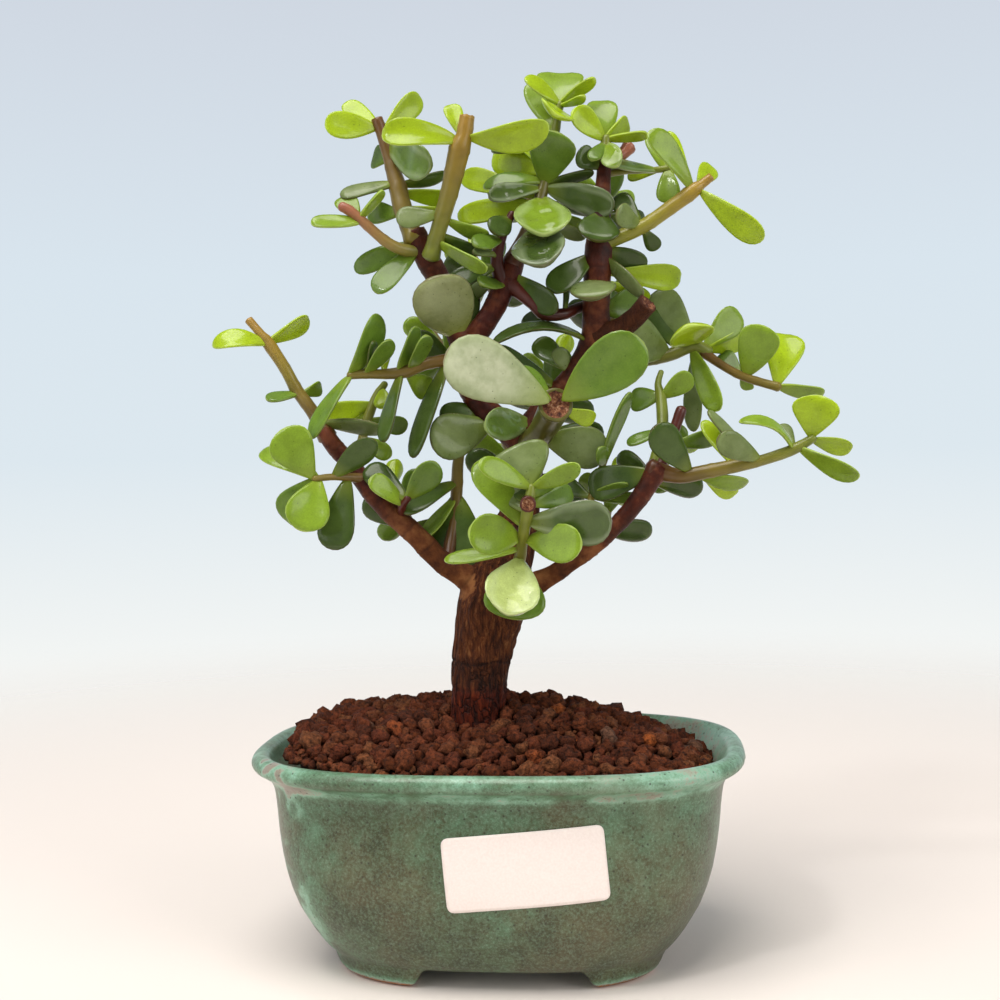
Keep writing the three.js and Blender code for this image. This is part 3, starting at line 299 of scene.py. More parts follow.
for v in pot.data.vertices:
    x, y, z = (v.co - POT_PLACE) / MM
    half_length = wall_half_length(min(z, BELLY_TOP))
    half_width = pot_half_width(half_length, z)
    drift = noise.noise(Vector((x, y, z * 0.5)) / DRIFT_SIZE)
    blotch = noise.noise(Vector((x, y, z)) / BLOTCH_SIZE)
    corner = step_up(abs(x / half_length) * abs(y / half_width), 0.5, 0.8)
    left_corner = step_up(-x / half_length, 0.72, 0.93) * step_up(-y / half_width, 0.3, 0.6)
    below_lip = step_up(z, 44.9, 46.6) * (1 - step_up(z, 48, 49))
    deep = BODY_DEPTH + LOW_BODY_MORE * (1 - step_up(z, 7, 34)) - CORNER_LESS * corner * (0.5 + drift)
    deep -= LEFT_CORNER_LESS * left_corner * step_up(drift + 0.7 * blotch, -0.25, 0.2)
    deep -= below_lip * BELOW_LIP_LESS * (0.6 + drift + 0.5 * blotch)
    deep -= below_lip * LEFT_BELOW_LIP_LESS * step_up(-x, -5, 40)
    deep -= LIP_LESS * step_up(z, 48, 50) + LIP_TOP_LESS * step_up(z, 51.3, 52.4)
    # The middle of the wall, which leans out into the lip, parts the inside from the outside.
    middle = 2 - 3.5 * step_up(z, 44, 49)
    across = abs(x / (half_length - middle)) ** SQUARENESS + abs(y / (half_width - middle)) ** SQUARENESS
    if z > FOOT_HEIGHT + 1 and across < 1:
        # Inside, the glaze is pale mint: partly its own colour and partly painted light against the shade
        # under the lip.
        deep = INSIDE_DEPTH_WITH_PAINTED_LIGHT + INSIDE_TOP_MORE * step_up(z, 51.5, 52.6) + INSIDE_DRIFT * drift
    # The lip is glazed deeper, so darker, on the left: painted shade that tones down the left lamp's light
    # there.
    deep += LEFT_LIP_PAINTED_SHADE * step_up(z, 48, 50) * step_up(-x, 15, 50)
    deep *= FOOT_SHARE + (1 - FOOT_SHARE) * step_up(z, 1.4, 3)
    depths.data[v.index].value = max(deep, LEAST_DEPTH) * step_up(z, 0.9, 1.5)

# The label is a plain white paper sticker with rounded corners, stuck a little crooked on the
# front wall and following its curve.
LABEL_LENGTH, LABEL_HEIGHT, LABEL_CORNER = 37, 17, 1.6
LABEL_X, LABEL_Z, LABEL_TILT = 9.3, 31, 5
LABEL_OFF, LABEL_THICKNESS = 0.12, 0.18

# Coated label paper: bright, nearly smooth, with a faint fibre mottle. IOR 1.5, satin.
paper, shader, place = new_material("coated white label paper")
fibre = add_node(paper, "TexNoise", {"Vector": place, "Scale": 1800, "Detail": 3})
paper_tone = add_node(paper, "ValToRGB", {"Fac": fibre}, stops=[(0.3, "#eee0d9"), (0.7, "#f4e8e2")])
paper_relief = add_node(paper, "Bump", {"Height": fibre, "Strength": 0.15, "Distance": 0.0001})
feed(shader, {"Base Color": paper_tone, "Normal": paper_relief, "Roughness": 0.45})


def front_wall(x, z):
    """How far the glazed front wall stands towards -Y at a place, in millimetres."""
    half_length = wall_half_length(z)
    return pot_half_width(half_length, z) * (1 - abs(x / half_length) ** SQUARENESS) ** (1 / SQUARENESS)


bm = bmesh.new()
bmesh.ops.create_grid(bm, x_segments=48, y_segments=22, size=0.5)
straight = Vector((LABEL_LENGTH / 2 - LABEL_CORNER, LABEL_HEIGHT / 2 - LABEL_CORNER))
tilt = math.radians(LABEL_TILT)
for v in bm.verts:
    flat = Vector((v.co.x * LABEL_LENGTH, v.co.y * LABEL_HEIGHT))
    past = Vector((max(abs(flat.x) - straight.x, 0), max(abs(flat.y) - straight.y, 0)))
    if past.x > 0 and past.y > 0 and past.length > LABEL_CORNER:
        past *= LABEL_CORNER / past.length
        flat = Vector([math.copysign(s + p, f) for s, p, f in zip(straight, past, flat)])
    x = LABEL_X + flat.x * math.cos(tilt) - flat.y * math.sin(tilt)
    z = LABEL_Z + flat.x * math.sin(tilt) + flat.y * math.cos(tilt)
    v.co = POT_PLACE + Vector((x, -front_wall(x, z) - LABEL_OFF, z)) * MM
bmesh.ops.recalc_face_normals(bm, faces=bm.faces)
bmesh.ops.solidify(bm, geom=bm.faces[:], thickness=-LABEL_THICKNESS * MM)
finish_piece(bm, "sticker", [paper], ["label"])

# Two squares of black plastic mesh keep the soil in over the drain holes, and a bent aluminium
# wire holds each one down. They lie under the soil, and keep the shapes that they were made with.
mesh_plastic, shader, place = new_material("moulded black polypropylene")
grain = add_node(mesh_plastic, "TexNoise", {"Vector": place, "Scale": 900, "Detail": 2})
grain_relief = add_node(mesh_plastic, "Bump", {"Height": grain, "Strength": 0.3, "Distance": 0.0001})
feed(shader, {"Normal": grain_relief, "Base Color": linear("#1f2020"), "Roughness": 0.5})

drawn_wire, shader, place = new_material("drawn aluminium wire")
drawn = add_node(drawn_wire, "TexNoise", {"Vector": place, "Scale": 700, "Detail": 2})
drawn_gloss = add_node(drawn_wire, "MapRange", {"Value": drawn, 3: 0.25, 4: 0.5})
feed(shader, {"Roughness": drawn_gloss, "Base Color": linear("#b9b9b6"), "Metallic": 1})

for side in DRAINS:
    for kind, material in (("screen_", mesh_plastic), ("clip_", drawn_wire)):
        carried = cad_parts[kind + side]
        carried.data.materials.clear()
        carried.data.materials.append(material)

# The soil is a mound of porous fired clay crumbs, 2 to 6 mm across, damp and rust brown, with a
# few orange and grey ones. They lie on a bed of the same clay that fills the pot.
SOIL_PEAK, SOIL_PEAK_Y, SOIL_EDGE, SOIL_TILT, SOIL_REACH = 61, 5, 49.6, -0.08, 55.4
SOIL_PEAK_SHARPNESS = 1.1
BED_REACH, BED_MIDDLE, BED_SINK = 50.5, 1, 1.7
LEFT_END, LEFT_SLANT = -51.5, 0.1
FIELD_LENGTH, FIELD_WIDTH = 54, 36
# Each size of crumb's radius, how many are tried, and how far right they may lie.
CRUMB_SIZES = [(2.7, 30, -32), (2.3, 540, FIELD_LENGTH), (1.95, 2280, FIELD_LENGTH),
               (1.6, 5400, FIELD_LENGTH), (1.3, 7800, FIELD_LENGTH), (1, 7800, FIELD_LENGTH),
               (0.75, 7200, FIELD_LENGTH)]
WALL_CRUMBS, CRUMB_LIMIT, BIG_CRUMB = 300, 2700, 1.5
# How close two crumbs may lie, as a share of their radii: tighter along the wall.
WALL_ROOM, FIELD_ROOM = 0.7, 0.78
CELL = 5
CRUMB_COLOURS = ["#5f2c17", "#68341b", "#4f2512", "#6b3a21", "#56280f", "#622f18", "#714226"]
ODD_CRUMBS, ODD_SHARE = ["#8f4a20", "#6a4836", "#824120"], 0.03
# The crumbs dip in front of the trunk, where the root ball was pressed in.
HOLLOW_X, HOLLOW_Y, HOLLOW_REACH, HOLLOW_DEPTH = -5.5, -13, 9, 3.6

# Fired clay crumb: matt and full of pores of 1 mm and less that trap the light.
crumb_clay, shader, place = new_material("porous fired clay crumb")
tint = add_node(crumb_clay, "Attribute", attribute_name="tint")
pore = add_node(crumb_clay, "TexNoise", {"Vector": place, "Scale": 900, "Detail": 6, "Roughness": 0.75})
pore_tone = add_node(crumb_clay, "ValToRGB", {"Fac": pore}, stops=[
    (0.36, 0.2), (0.47, 0.9), (0.56, 1.35), (0.68, 1.9)])
crumb_colour = add_node(crumb_clay, "Mix", {"Factor": 1.0, 6: tint, 7: pore_tone},
                        data_type="RGBA", blend_type="MULTIPLY")
# Knobs 1 to 2 mm across under the pores give each crumb its broken outline.
knob = add_node(crumb_clay, "TexNoise", {"Vector": place, "Scale": 620, "Detail": 2, "Roughness": 0.5})
lumpy = add_node(crumb_clay, "Bump", {"Height": knob, "Strength": 1.0, "Distance": 0.002})
crumb_relief = add_node(crumb_clay, "Bump", {"Height": pore, "Strength": 1.0, "Distance": 0.0009,
                                             "Normal": lumpy})
feed(shader, {"Base Color": crumb_colour, "Normal": crumb_relief, "Roughness": 0.88,
              "Specular IOR Level": 0.25})

# The same clay where it lies deep between the crumbs, painted dark as the shade that falls there.
bed_clay_painted_shade, shader, place = new_material("fired clay bed in painted shade")
bed = add_node(bed_clay_painted_shade, "TexVoronoi", {"Vector": place, "Scale": 380})
bed_painted_shade_tone = add_node(bed_clay_painted_shade, "ValToRGB", {"Fac": bed}, stops=[(0.0, "#4a2419"), (0.8, "#1d0f0b")])
feed(shader, {"Base Color": bed_painted_shade_tone, "Roughness": 0.95, "Specular IOR Level": 0.2})


def hollow(x, y):
    """How deep the dip before the trunk is at a place, in millimetres."""
    return HOLLOW_DEPTH * math.exp(-((x - HOLLOW_X) ** 2 + (y - HOLLOW_Y) ** 2) / HOLLOW_REACH ** 2)


def soil_height(x, y):
    """The mound's height in millimetres over a place in the pot."""
    half_width = pot_half_width(SOIL_REACH, SOIL_EDGE)
    share = 0.5
    for _ in range(12):
        back = y - SOIL_PEAK_Y * (1 - share)
        across = abs(x / SOIL_REACH) ** SQUARENESS + abs(back / half_width) ** SQUARENESS
        share = 0.5 * share + 0.5 * across ** (1 / SQUARENESS)
    edge = SOIL_EDGE + SOIL_TILT * x / max(share, 0.15)
    return edge + (SOIL_PEAK - edge) * max(1 - share ** 2, 0) ** SOIL_PEAK_SHARPNESS - hollow(x, y)


def bed_ring(share):
    """A ring of the mound under the crumbs: it leans with the mound and rises towards the peak."""
    peak = (1 - share ** 2) ** SOIL_PEAK_SHARPNESS
    level = SOIL_EDGE * (1 - peak) + SOIL_PEAK * peak - BED_SINK
    lean = SOIL_TILT * BED_REACH * (1 - peak)
    half_width = pot_half_width(BED_REACH, SOIL_EDGE)
    rows = ((share * BED_REACH, 0, 0, BED_MIDDLE), (0, share * half_width, 0, SOIL_PEAK_Y * (1 - share)),
            (lean, 0, 1, level), (0, 0, 0, 1 / MM))
    return Matrix.Translation(POT_PLACE) @ (Matrix(rows) * MM)


BED_DEPTH, BED_RINGS = 15, 12
bm = bmesh.new()
rings = [bed_ring(1 - step / BED_RINGS) for step in range(BED_RINGS)]
loft(bm, 96, [Matrix.Translation((0, 0, -BED_DEPTH * MM)) @ rings[0]] + rings, SQUARENESS)
for v in bm.verts:
    v.co.z -= hollow(*((v.co - POT_PLACE) / MM).xy) * MM
finish_piece(bm, "soil_bed", [bed_clay_painted_shade], ["soil"])

chance = random.Random(11)
crumbs = []
cells = {}


def lay_crumb(x, y, z, radius, room):
    """Lays one crumb down unless it would sink too far into one that lies there."""
    cell = (int(x // CELL), int(y // CELL))
    around = [(cell[0] + i, cell[1] + j) for i in (-1, 0, 1) for j in (-1, 0, 1)]
    near = [crumb for place in around for crumb in cells.get(place, [])]
    if all((x - a) ** 2 + (y - b) ** 2 + (z - c) ** 2 > (room * (radius + r)) ** 2 for a, b, c, r in near):
        crumbs.append((x, y, z, radius))
        cells.setdefault(cell, []).append(crumbs[-1])


INSIDE_LENGTH, INSIDE_LEVEL, INSIDE_SLOPE, INSIDE_MOST = 51.3, 42.5, 0.59, 55.2


def wall_inside(z):
    """The half length of the pot's inside at the soil's level, up to where the lip rolls out."""
    return min(INSIDE_LENGTH + INSIDE_SLOPE * (z - INSIDE_LEVEL), INSIDE_MOST)


def left_end(y):
    """How far left the crumbs reach: they stop short of the lip, most of all at the front."""
    return LEFT_END - LEFT_SLANT * y


def inside_size(z, radius):
    """The half length and half width of the room for a crumb's middle at a height."""
    half_length = wall_inside(z) - 0.8 * radius
    return half_length, pot_half_width(half_length, z)


for step in range(WALL_CRUMBS):
    turn = step * math.tau / WALL_CRUMBS
    radius = chance.uniform(1.0, 1.9)
    x, y = (math.copysign(abs(f(turn)) ** (2 / SQUARENESS), f(turn)) for f in (math.cos, math.sin))
    z = SOIL_EDGE + SOIL_TILT * x * SOIL_REACH
    half_length, half_width = inside_size(z, radius)
    x, y = x * half_length, y * half_width
    x = max(x, left_end(y) + 0.5 * radius)
    lay_crumb(x, y, z + radius * chance.uniform(-0.5, 0.1), radius, WALL_ROOM)
for radius, tries, far_right in CRUMB_SIZES:
    for _ in range(tries):
        x, y = chance.uniform(-FIELD_LENGTH, far_right), chance.uniform(-FIELD_WIDTH, FIELD_WIDTH)
        z = soil_height(x, y) + radius * chance.uniform(-0.1, 0.6)
        half_length, half_width = inside_size(z, radius)
        across = abs(x / half_length) ** SQUARENESS + abs(y / half_width) ** SQUARENESS
        if across < 1 and x - 0.5 * radius > left_end(y):
            lay_crumb(x, y, z, radius * chance.uniform(0.85, 1.15), FIELD_ROOM)
crumbs = crumbs[:CRUMB_LIMIT]
bm = bmesh.new()
bm.verts.layers.float_color.new("tint")
# The crumbs are made in handfuls, because each new ball costs as much as all that lie in its bmesh.
HANDFUL = 30
handful_mesh = bpy.data.meshes.new("handful")
for first in range(0, len(crumbs), HANDFUL):
    handful = bmesh.new()
    tint_layer = handful.verts.layers.float_color.new("tint")
    for number, (x, y, z, radius) in enumerate(crumbs[first:first + HANDFUL], first):
        stretch = Matrix.Diagonal([chance.uniform(0.8, 1.15) for _ in range(3)] + [1])
        turn = Quaternion([chance.gauss(0, 1) for _ in range(4)]).normalized().to_matrix().to_4x4()
        spot = Matrix.Translation(POT_PLACE + Vector((x, y, z)) * MM)
        round_steps, tall_steps = (9, 6) if radius > BIG_CRUMB else (7, 5)
        made = bmesh.ops.create_uvsphere(handful, u_segments=round_steps, v_segments=tall_steps,
                                         radius=radius * MM, matrix=spot @ turn @ stretch)["verts"]
        colour = linear(chance.choice(ODD_CRUMBS if chance.random() < ODD_SHARE else CRUMB_COLOURS))
        for v in made:
            out = v.co - spot.translation
            rough = noise.noise(out * 420 / (radius / 2) + Vector((number, 0, 0)) * 3.7)
            fine = noise.noise(out * 1500 + Vector((0, number, 0)) * 2.3)
            v.co = spot.translation + out * (1 + 0.7 * rough + 0.5 * fine)
            v[tint_layer] = colour
    handful.to_mesh(handful_mesh)
    handful.free()
    bm.from_mesh(handful_mesh)
bpy.data.meshes.remove(handful_mesh)
finish_piece(bm, "soil_crumbs", [crumb_clay])

# The tree is placed by sight: EYE looks along HEADING, DIP and ROLL from the pot's middle, and a
# point of a limb is [across, up, near, radius] in millimetres, where near is how far it lies in
# front of the trunk and the rest is as it looks at the trunk's distance, SIGHT.
EYE = Vector((37.6, -349, 125))
HEADING, DIP, ROLL = (math.radians(angle) for angle in (5.95, 1.93, 1.04))
SIGHT = 350
forward = Vector((-math.sin(HEADING) * math.cos(DIP), math.cos(HEADING) * math.cos(DIP), -math.sin(DIP)))
level_side = Vector((math.cos(HEADING), math.sin(HEADING), 0))
above_eye = level_side.cross(forward)
across_eye = level_side * math.cos(ROLL) - above_eye * math.sin(ROLL)
up_eye = level_side * math.sin(ROLL) + above_eye * math.cos(ROLL)


def shrink(near):
    """How much smaller a thing is really than it looks at the trunk's distance."""
    return 1 - near / SIGHT


def seen(across, up, near):
    """The place of a sighted point, in millimetres round the pot."""
    return EYE + (forward * SIGHT + across_eye * across + up_eye * up) * shrink(near)


def between(a, b, c, d, t):
    """The smooth curve through b and c at share t of the way, where a comes before and d after."""
    return b + 0.5 * t * (c - a + t * (2 * a - 5 * b + 4 * c - d + t * (3 * (b - c) + d - a)))


def smooth_path(points, step):
    """Threads a smooth curve through places and radii, sampled about every step millimetres."""
    result = []
    for i in range(len(points) - 1):
        four = [points[min(max(k, 0), len(points) - 1)] for k in (i - 1, i, i + 1, i + 2)]
        count = max(1, round((four[2][0] - four[1][0]).length / step))
        result += [tuple(between(*values, k / count) for values in zip(*four)) for k in range(count)]
    return result + [points[-1]]


def sighted_path(points, step):
    """The smooth path of a limb whose points are given by sight."""
    return smooth_path([(seen(*p[:3]), p[3] * shrink(p[2])) for p in points], step)


def limb_rings(path):
    """Frames for a ring at each point of a path, turned as little as possible from one to the next."""
    rings = []
    side = Vector((0.31, 0.17, 0.93)).cross(path[1][0] - path[0][0]).normalized()
    for i, (spot, radius) in enumerate(path):
        along = (path[min(i + 1, len(path) - 1)][0] - path[max(i - 1, 0)][0]).normalized()
        side = (side - along * side.dot(along)).normalized()
        turn = Matrix((side, along.cross(side), along)).transposed().to_4x4()
        size = Matrix.Diagonal([radius * MM] * 3 + [1])
        rings.append(Matrix.Translation(POT_PLACE + spot * MM) @ turn @ size)
    return rings


# The wood is one living piece: the trunk with its flare and fork, and the branches and leaders
# that grow from it. The trunk's bark is brown and fissured, and younger wood is a smooth maroon.
WOOD = {
    "trunk": [[-6.2, -78, 0, 5.2], [-6, -66, 0, 6.6], [-6, -57, 0, 6.4], [-5.2, -47.5, 0, 6.8],
              [-4.5, -40, 0, 7.1], [-3.5, -33, 0, 7.9], [-2.2, -27, 0, 8.5], [-0.5, -21, 0, 8.2],
              [2.2, -13, -1, 6.4], [4.5, -5, -3, 5.2], [5.8, 4, -4, 4.6], [6.2, 12, -4, 4.3],
              [6, 18, -4, 4.2]],
    "left_branch": [[-1, -26, 1, 4], [-7.5, -20, 2, 3.3], [-15, -15, 3, 2.8], [-21, -8.8, 4, 2.65],
                    [-27.5, -3, 4, 2.6], [-32.5, 2.5, 4, 2.5], [-37, 8.3, 3, 2.3], [-41.5, 13.5, 2, 2.2],
                    [-44.5, 18, 1, 2]],
    "right_branch": [[2, -26, 1, 4.2], [8, -21.5, 4, 3], [15, -17.5, 6, 2.3], [24, -11, 8, 2.2],
                     [31, -4.3, 9, 2.2], [36, 2.2, 10, 2.4], [38.8, 6.6, 10, 2.7], [40.3, 8.6, 10, 2.2]],
    "left_leader": [[4.5, 15.5, -4, 3.8], [0, 19.5, -3, 3.4], [-4.5, 23.5, -2, 3.2], [-8.5, 30, -1, 3],
                    [-9.8, 36.5, 0, 2.9], [-7, 40, 0, 2.9], [-3.3, 45, 0, 2.8], [0, 51, 0, 2.9],
                    [2.5, 57, 0, 3], [4, 61, 0, 2.5]],
    "right_leader": [[6.5, 16, -4, 3.6], [10.5, 22.5, -5, 3], [16.8, 29.5, -4, 2.7], [20.8, 35, -3, 2.9],
                     [23.8, 40.8, -1, 3.6], [24, 47.5, 0, 3.4], [24.3, 55, 1, 3.5], [24.6, 63, 1, 3.4],
                     [25, 69, 1, 2.6], [25.5, 75, 0, 2.2], [26, 82.5, -1, 1.8], [26.5, 88.5, -1, 1.5]],
    "upper_left_leader": [[-9.5, 37.5, 0, 2.6], [-11.5, 44, 1, 2.8], [-13.5, 50, 2, 2.9],
                          [-15.5, 55.5, 3, 3], [-18.5, 61, 4, 3], [-21.5, 67.3, 4, 2.8]],
}

LIMB_SIDES, BARK_GRID, BARK_RELAXING = 28, 0.4, 5

# How dry and brown each limb's bark is at its foot and at its end, apart from its girth.
DRYNESS = {"left_branch": (0.85, 0), "right_branch": (0.75, 0.1), "right_leader": (0.15, 0.05),
           "upper_left_leader": (0.1, 0.15)}

# Jade bark: dry and finely fissured lengthwise on the old wood, dull brown on the low branches,
# and smooth maroon with a waxy sheen on the young wood. Each attribute is 0 to 1.
bark, shader, place = new_material("dwarf jade bark")
old = add_node(bark, "Attribute", attribute_name="age")
dry = add_node(bark, "Attribute", attribute_name="dryness")
stretched = add_node(bark, "Mapping", {"Vector": place, "Scale": (1, 1, 0.2)})
crack = add_node(bark, "TexNoise", {"Vector": stretched, "Scale": 1050, "Detail": 6, "Roughness": 0.72,
                                    "Distortion": 0.5})
patch = add_node(bark, "TexNoise", {"Vector": place, "Scale": 150, "Detail": 5, "Roughness": 0.65})
old_tone = add_node(bark, "ValToRGB", {"Fac": crack}, stops=[
    (0.3, "#1c0a04"), (0.44, "#3f1e0e"), (0.57, "#613418"), (0.74, "#8f5f38")])
dry_tone = add_node(bark, "ValToRGB", {"Fac": patch}, stops=[
    (0.32, "#3d1e0d"), (0.48, "#693c1d"), (0.64, "#8c5c33")])
young_tone = add_node(bark, "ValToRGB", {"Fac": patch}, stops=[
    (0.34, "#2a0c06"), (0.5, "#4a1a0e"), (0.66, "#733c24")])
dried = add_node(bark, "Mix", {"Factor": dry.outputs["Fac"], 6: young_tone, 7: dry_tone},
                 data_type="RGBA")
aged = add_node(bark, "Mix", {"Factor": old.outputs["Fac"], 6: dried, 7: old_tone}, data_type="RGBA")
# Plates of bark 2 mm wide and 10 mm tall part along black fissures, most of all at the damp foot.
wander = add_node(bark, "TexNoise", {"Vector": place, "Scale": 260, "Detail": 4})
bent = add_node(bark, "VectorMath", {0: wander.outputs["Color"], 1: (0.0035, 0.0035, 0.0035), 2: stretched},
                operation="MULTIPLY_ADD")
plates = add_node(bark, "TexVoronoi", {"Vector": bent, "Scale": 500}, feature="DISTANCE_TO_EDGE")
plate_face = add_node(bark, "ValToRGB", {"Fac": plates}, stops=[(0.0, 0.0), (0.08, 1.0)])
height = add_node(bark, "SeparateXYZ", {0: place})
wet = add_node(bark, "MapRange", {"Value": height.outputs["Z"], 1: 0.076, 2: 0.066, 3: 0.25, 4: 0.8})
parted = add_node(bark, "Math", {0: wet, 1: old.outputs["Fac"]}, operation="MULTIPLY")
face_tone = add_node(bark, "ValToRGB", {"Fac": plate_face}, stops=[(0.0, 0.12), (1.0, 1.1)])
plated = add_node(bark, "Mix", {"Factor": parted, 6: aged, 7: face_tone}, data_type="RGBA",
                  blend_type="MULTIPLY")
foot = add_node(bark, "MapRange", {"Value": height.outputs["Z"], 1: 0.06, 2: 0.084})
foot_tone = add_node(bark, "ValToRGB", {"Fac": foot}, stops=[
    (0.0, "#ffb494"), (0.24, "#f5aa8a"), (0.34, "#cdbfb4"), (0.54, "#d6cac0"), (0.66, "#ffffff")])
damp = add_node(bark, "Mix", {"Factor": 1.0, 6: plated, 7: foot_tone}, data_type="RGBA",
                blend_type="MULTIPLY")
# Dark scars at the nodes of young wood, and a dark line painted as the shade in each ring crack round the
# trunk.
scar = add_node(bark, "Attribute", attribute_name="scar")
scarred_and_crack_shaded = add_node(bark, "Mix", {"Factor": scar.outputs["Fac"], 6: damp, 7: linear("#1d0c07")},
                    data_type="RGBA")
matt = add_node(bark, "Math", {0: old.outputs["Fac"], 1: dry.outputs["Fac"]}, operation="MAXIMUM")
dry_gloss = add_node(bark, "MapRange", {"Value": matt, 3: 0.4, 4: 0.85})
bark_gloss = add_node(bark, "MapRange", {"Value": wet, 1: 0.25, 2: 0.8, 3: 1.0, 4: 0.75})
bark_gloss = add_node(bark, "Math", {0: dry_gloss, 1: bark_gloss}, operation="MULTIPLY")
deep = add_node(bark, "MapRange", {"Value": old.outputs["Fac"], 3: 0.3, 4: 1.0})
crack_depth = add_node(bark, "Math", {0: crack, 1: deep}, operation="MULTIPLY")
plate_rise = add_node(bark, "Math", {0: plate_face, 1: parted, 2: crack_depth},
                      operation="MULTIPLY_ADD")
bark_relief = add_node(bark, "Bump", {"Height": plate_rise, "Strength": 0.9, "Distance": 0.0009})
feed(shader, {"Base Color": scarred_and_crack_shaded, "Roughness": bark_gloss, "Normal": bark_relief,
              "Specular IOR Level": 0.2})


bm = bmesh.new()
wood_paths = {name: sighted_path(points, 1.0) for name, points in WOOD.items()}
for path in wood_paths.values():
    loft(bm, LIMB_SIDES, limb_rings(path))
wood = finish_piece(bm, "wood", [bark], list(WOOD))
remesh_finely(wood, BARK_GRID, BARK_RELAXING)
# Each point of the wood takes the girth of the limb that it lies closest to for its size, and the
# bark's ridges, scars and swollen rings are worked into the surface.
NODE_GAP, NODE_LINE, NODE_SWELLING = 6.5, 0.35, 1.3
# The cracks round the trunk: the height of each and how deep it is, and how wide they are. Each is carved in
# and also painted dark as the shade in it.
RING_CRACKS, CRACK_WIDTH = {73.3: 0.8, 66.6: 0.4}, 0.3
# The radii at which bark begins to be old and at which it is all old.
OLD_FROM, OLD_BY = 3.4, 5.4
NEIGHBOURS, NEIGHBOUR_BLEND = 14, 0.12
spots = []
for name, path in wood_paths.items():
    for k, (spot, radius) in enumerate(path):
        way = (path[min(k + 1, len(path) - 1)][0] - path[max(k - 1, 0)][0]).normalized()
        dry_foot, dry_end = DRYNESS.get(name, (0, 0))
        dryness = dry_foot + (dry_end - dry_foot) * step_up(k / len(path), 0.35, 0.75)
        spots.append((POT_PLACE + spot * MM, radius, k, way, name, dryness))
tree = kdtree.KDTree(len(spots))
for number, spot in enumerate(spots):
    tree.insert(spot[0], number)
tree.balance()
BARK_LAYERS = ("age", "dryness", "scar")
ages, drynesses, scars = (wood.data.attributes.new(layer, "FLOAT", "POINT") for layer in BARK_LAYERS)
normals = [n.vector.copy() for n in wood.data.vertex_normals]
for v in wood.data.vertices:
    found = tree.find_n(v.co, NEIGHBOURS)
    hits = [(distance / MM / spots[number][1], spots[number]) for _, number, distance in found]
    ratio, (spot, _, k, way, name, _) = min(hits, key=lambda hit: hit[0])
    shares = [math.exp((ratio - far) / NEIGHBOUR_BLEND) for far, _ in hits]
    radius = sum(share * near[1] for share, (_, near) in zip(shares, hits)) / sum(shares)
    dryness = sum(share * near[5] for share, (_, near) in zip(shares, hits)) / sum(shares)
    old_share = step_up(radius, OLD_FROM, OLD_BY)
    from_node = (k + (v.co - spot).dot(way) / MM) % NODE_GAP - NODE_GAP / 2
    node_ring = math.exp(-(from_node / NODE_LINE) ** 2) * (1 - old_share)
    swelling = math.exp(-(from_node / NODE_SWELLING) ** 2) * (1 - old_share)
    level = v.co.z / MM - 0.9 * noise.noise(v.co * 220)
    cracks = (deep * math.exp(-((level - ring) / CRACK_WIDTH) ** 2) for ring, deep in RING_CRACKS.items())
    crack_groove_and_shade = sum(cracks) if name == "trunk" else 0
    ages.data[v.index].value = old_share
    drynesses.data[v.index].value = dryness
    scars.data[v.index].value = min(0.35 * node_ring + crack_groove_and_shade, 1)
    ridge = abs(noise.noise(Vector((v.co.x * 600, v.co.y * 600, v.co.z * 110)))) - 0.2
    lump = noise.noise(v.co * 160)
    rise = 0.9 * old_share * ridge + (0.15 + 0.3 * old_share) * lump + (0.13 + 0.08 * dryness) * swelling
    v.co += normals[v.index] * (rise - 0.12 * node_ring - 0.35 * crack_groove_and_shade) * MM

# Two stubs are left where branches were cut off with shears, one in front of the fork and one on
# the right leader: each keeps a rolled rim of bark round a sunken, dry and cracked face of wood.
STEM_COLOURS = {"maroon": "#4e1f16", "umber": "#63401f", "olive": "#7d7029", "green": "#747f2a",
                "amber": "#9a762c", "gold": "#92892e", "pink": "#a0604a", "stub olive": "#59561f"}
STUBS = {
    "front_stub": [[7, 13.5, -3, 3.6], [10, 16.5, 5, 3.3], [13.2, 22.2, 15, 3.9], [13.9, 23.8, 19, 4.4]],
    "cut_stub": [[24, 41, 0, 2.8], [31.3, 43.6, 3, 2.6], [37, 49.2, 7.5, 2.6]],
}

# Young jade stem: waxy skin with faint lengthwise streaks and pale leaf scars. IOR 1.45.
stem_skin, shader, place = new_material("young jade stem skin")
tint = add_node(stem_skin, "Attribute", attribute_name="tint")
streak = add_node(stem_skin, "TexNoise", {"Vector": place, "Scale": 260, "Detail": 2, "Roughness": 0.5})
streak_tone = add_node(stem_skin, "ValToRGB", {"Fac": streak}, stops=[(0.3, 0.84), (0.5, 1.0), (0.7, 1.1)])
stem_colour = add_node(stem_skin, "Mix", {"Factor": 1.0, 6: tint, 7: streak_tone},
                       data_type="RGBA", blend_type="MULTIPLY")
stem_relief = add_node(stem_skin, "Bump", {"Height": streak, "Strength": 0.25, "Distance": 0.0004})
feed(shader, {"Base Color": stem_colour, "Normal": stem_relief, "Roughness": 0.34, "IOR": 1.45})

# Dry cut wood: matt, rough, with darker cracks and a stained heart.
cut_wood, shader, place = new_material("dry cut jade wood")
fibre = add_node(cut_wood, "TexNoise", {"Vector": place, "Scale": 900, "Detail": 6, "Roughness": 0.75})
cut_tone = add_node(cut_wood, "ValToRGB", {"Fac": fibre}, stops=[
    (0.34, "#1e0c07"), (0.46, "#61301b"), (0.56, "#96603c"), (0.68, "#cfae8c")])
cut_relief = add_node(cut_wood, "Bump", {"Height": fibre, "Strength": 1.0, "Distance": 0.0008})
feed(shader, {"Base Color": cut_tone, "Normal": cut_relief, "Roughness": 0.85})


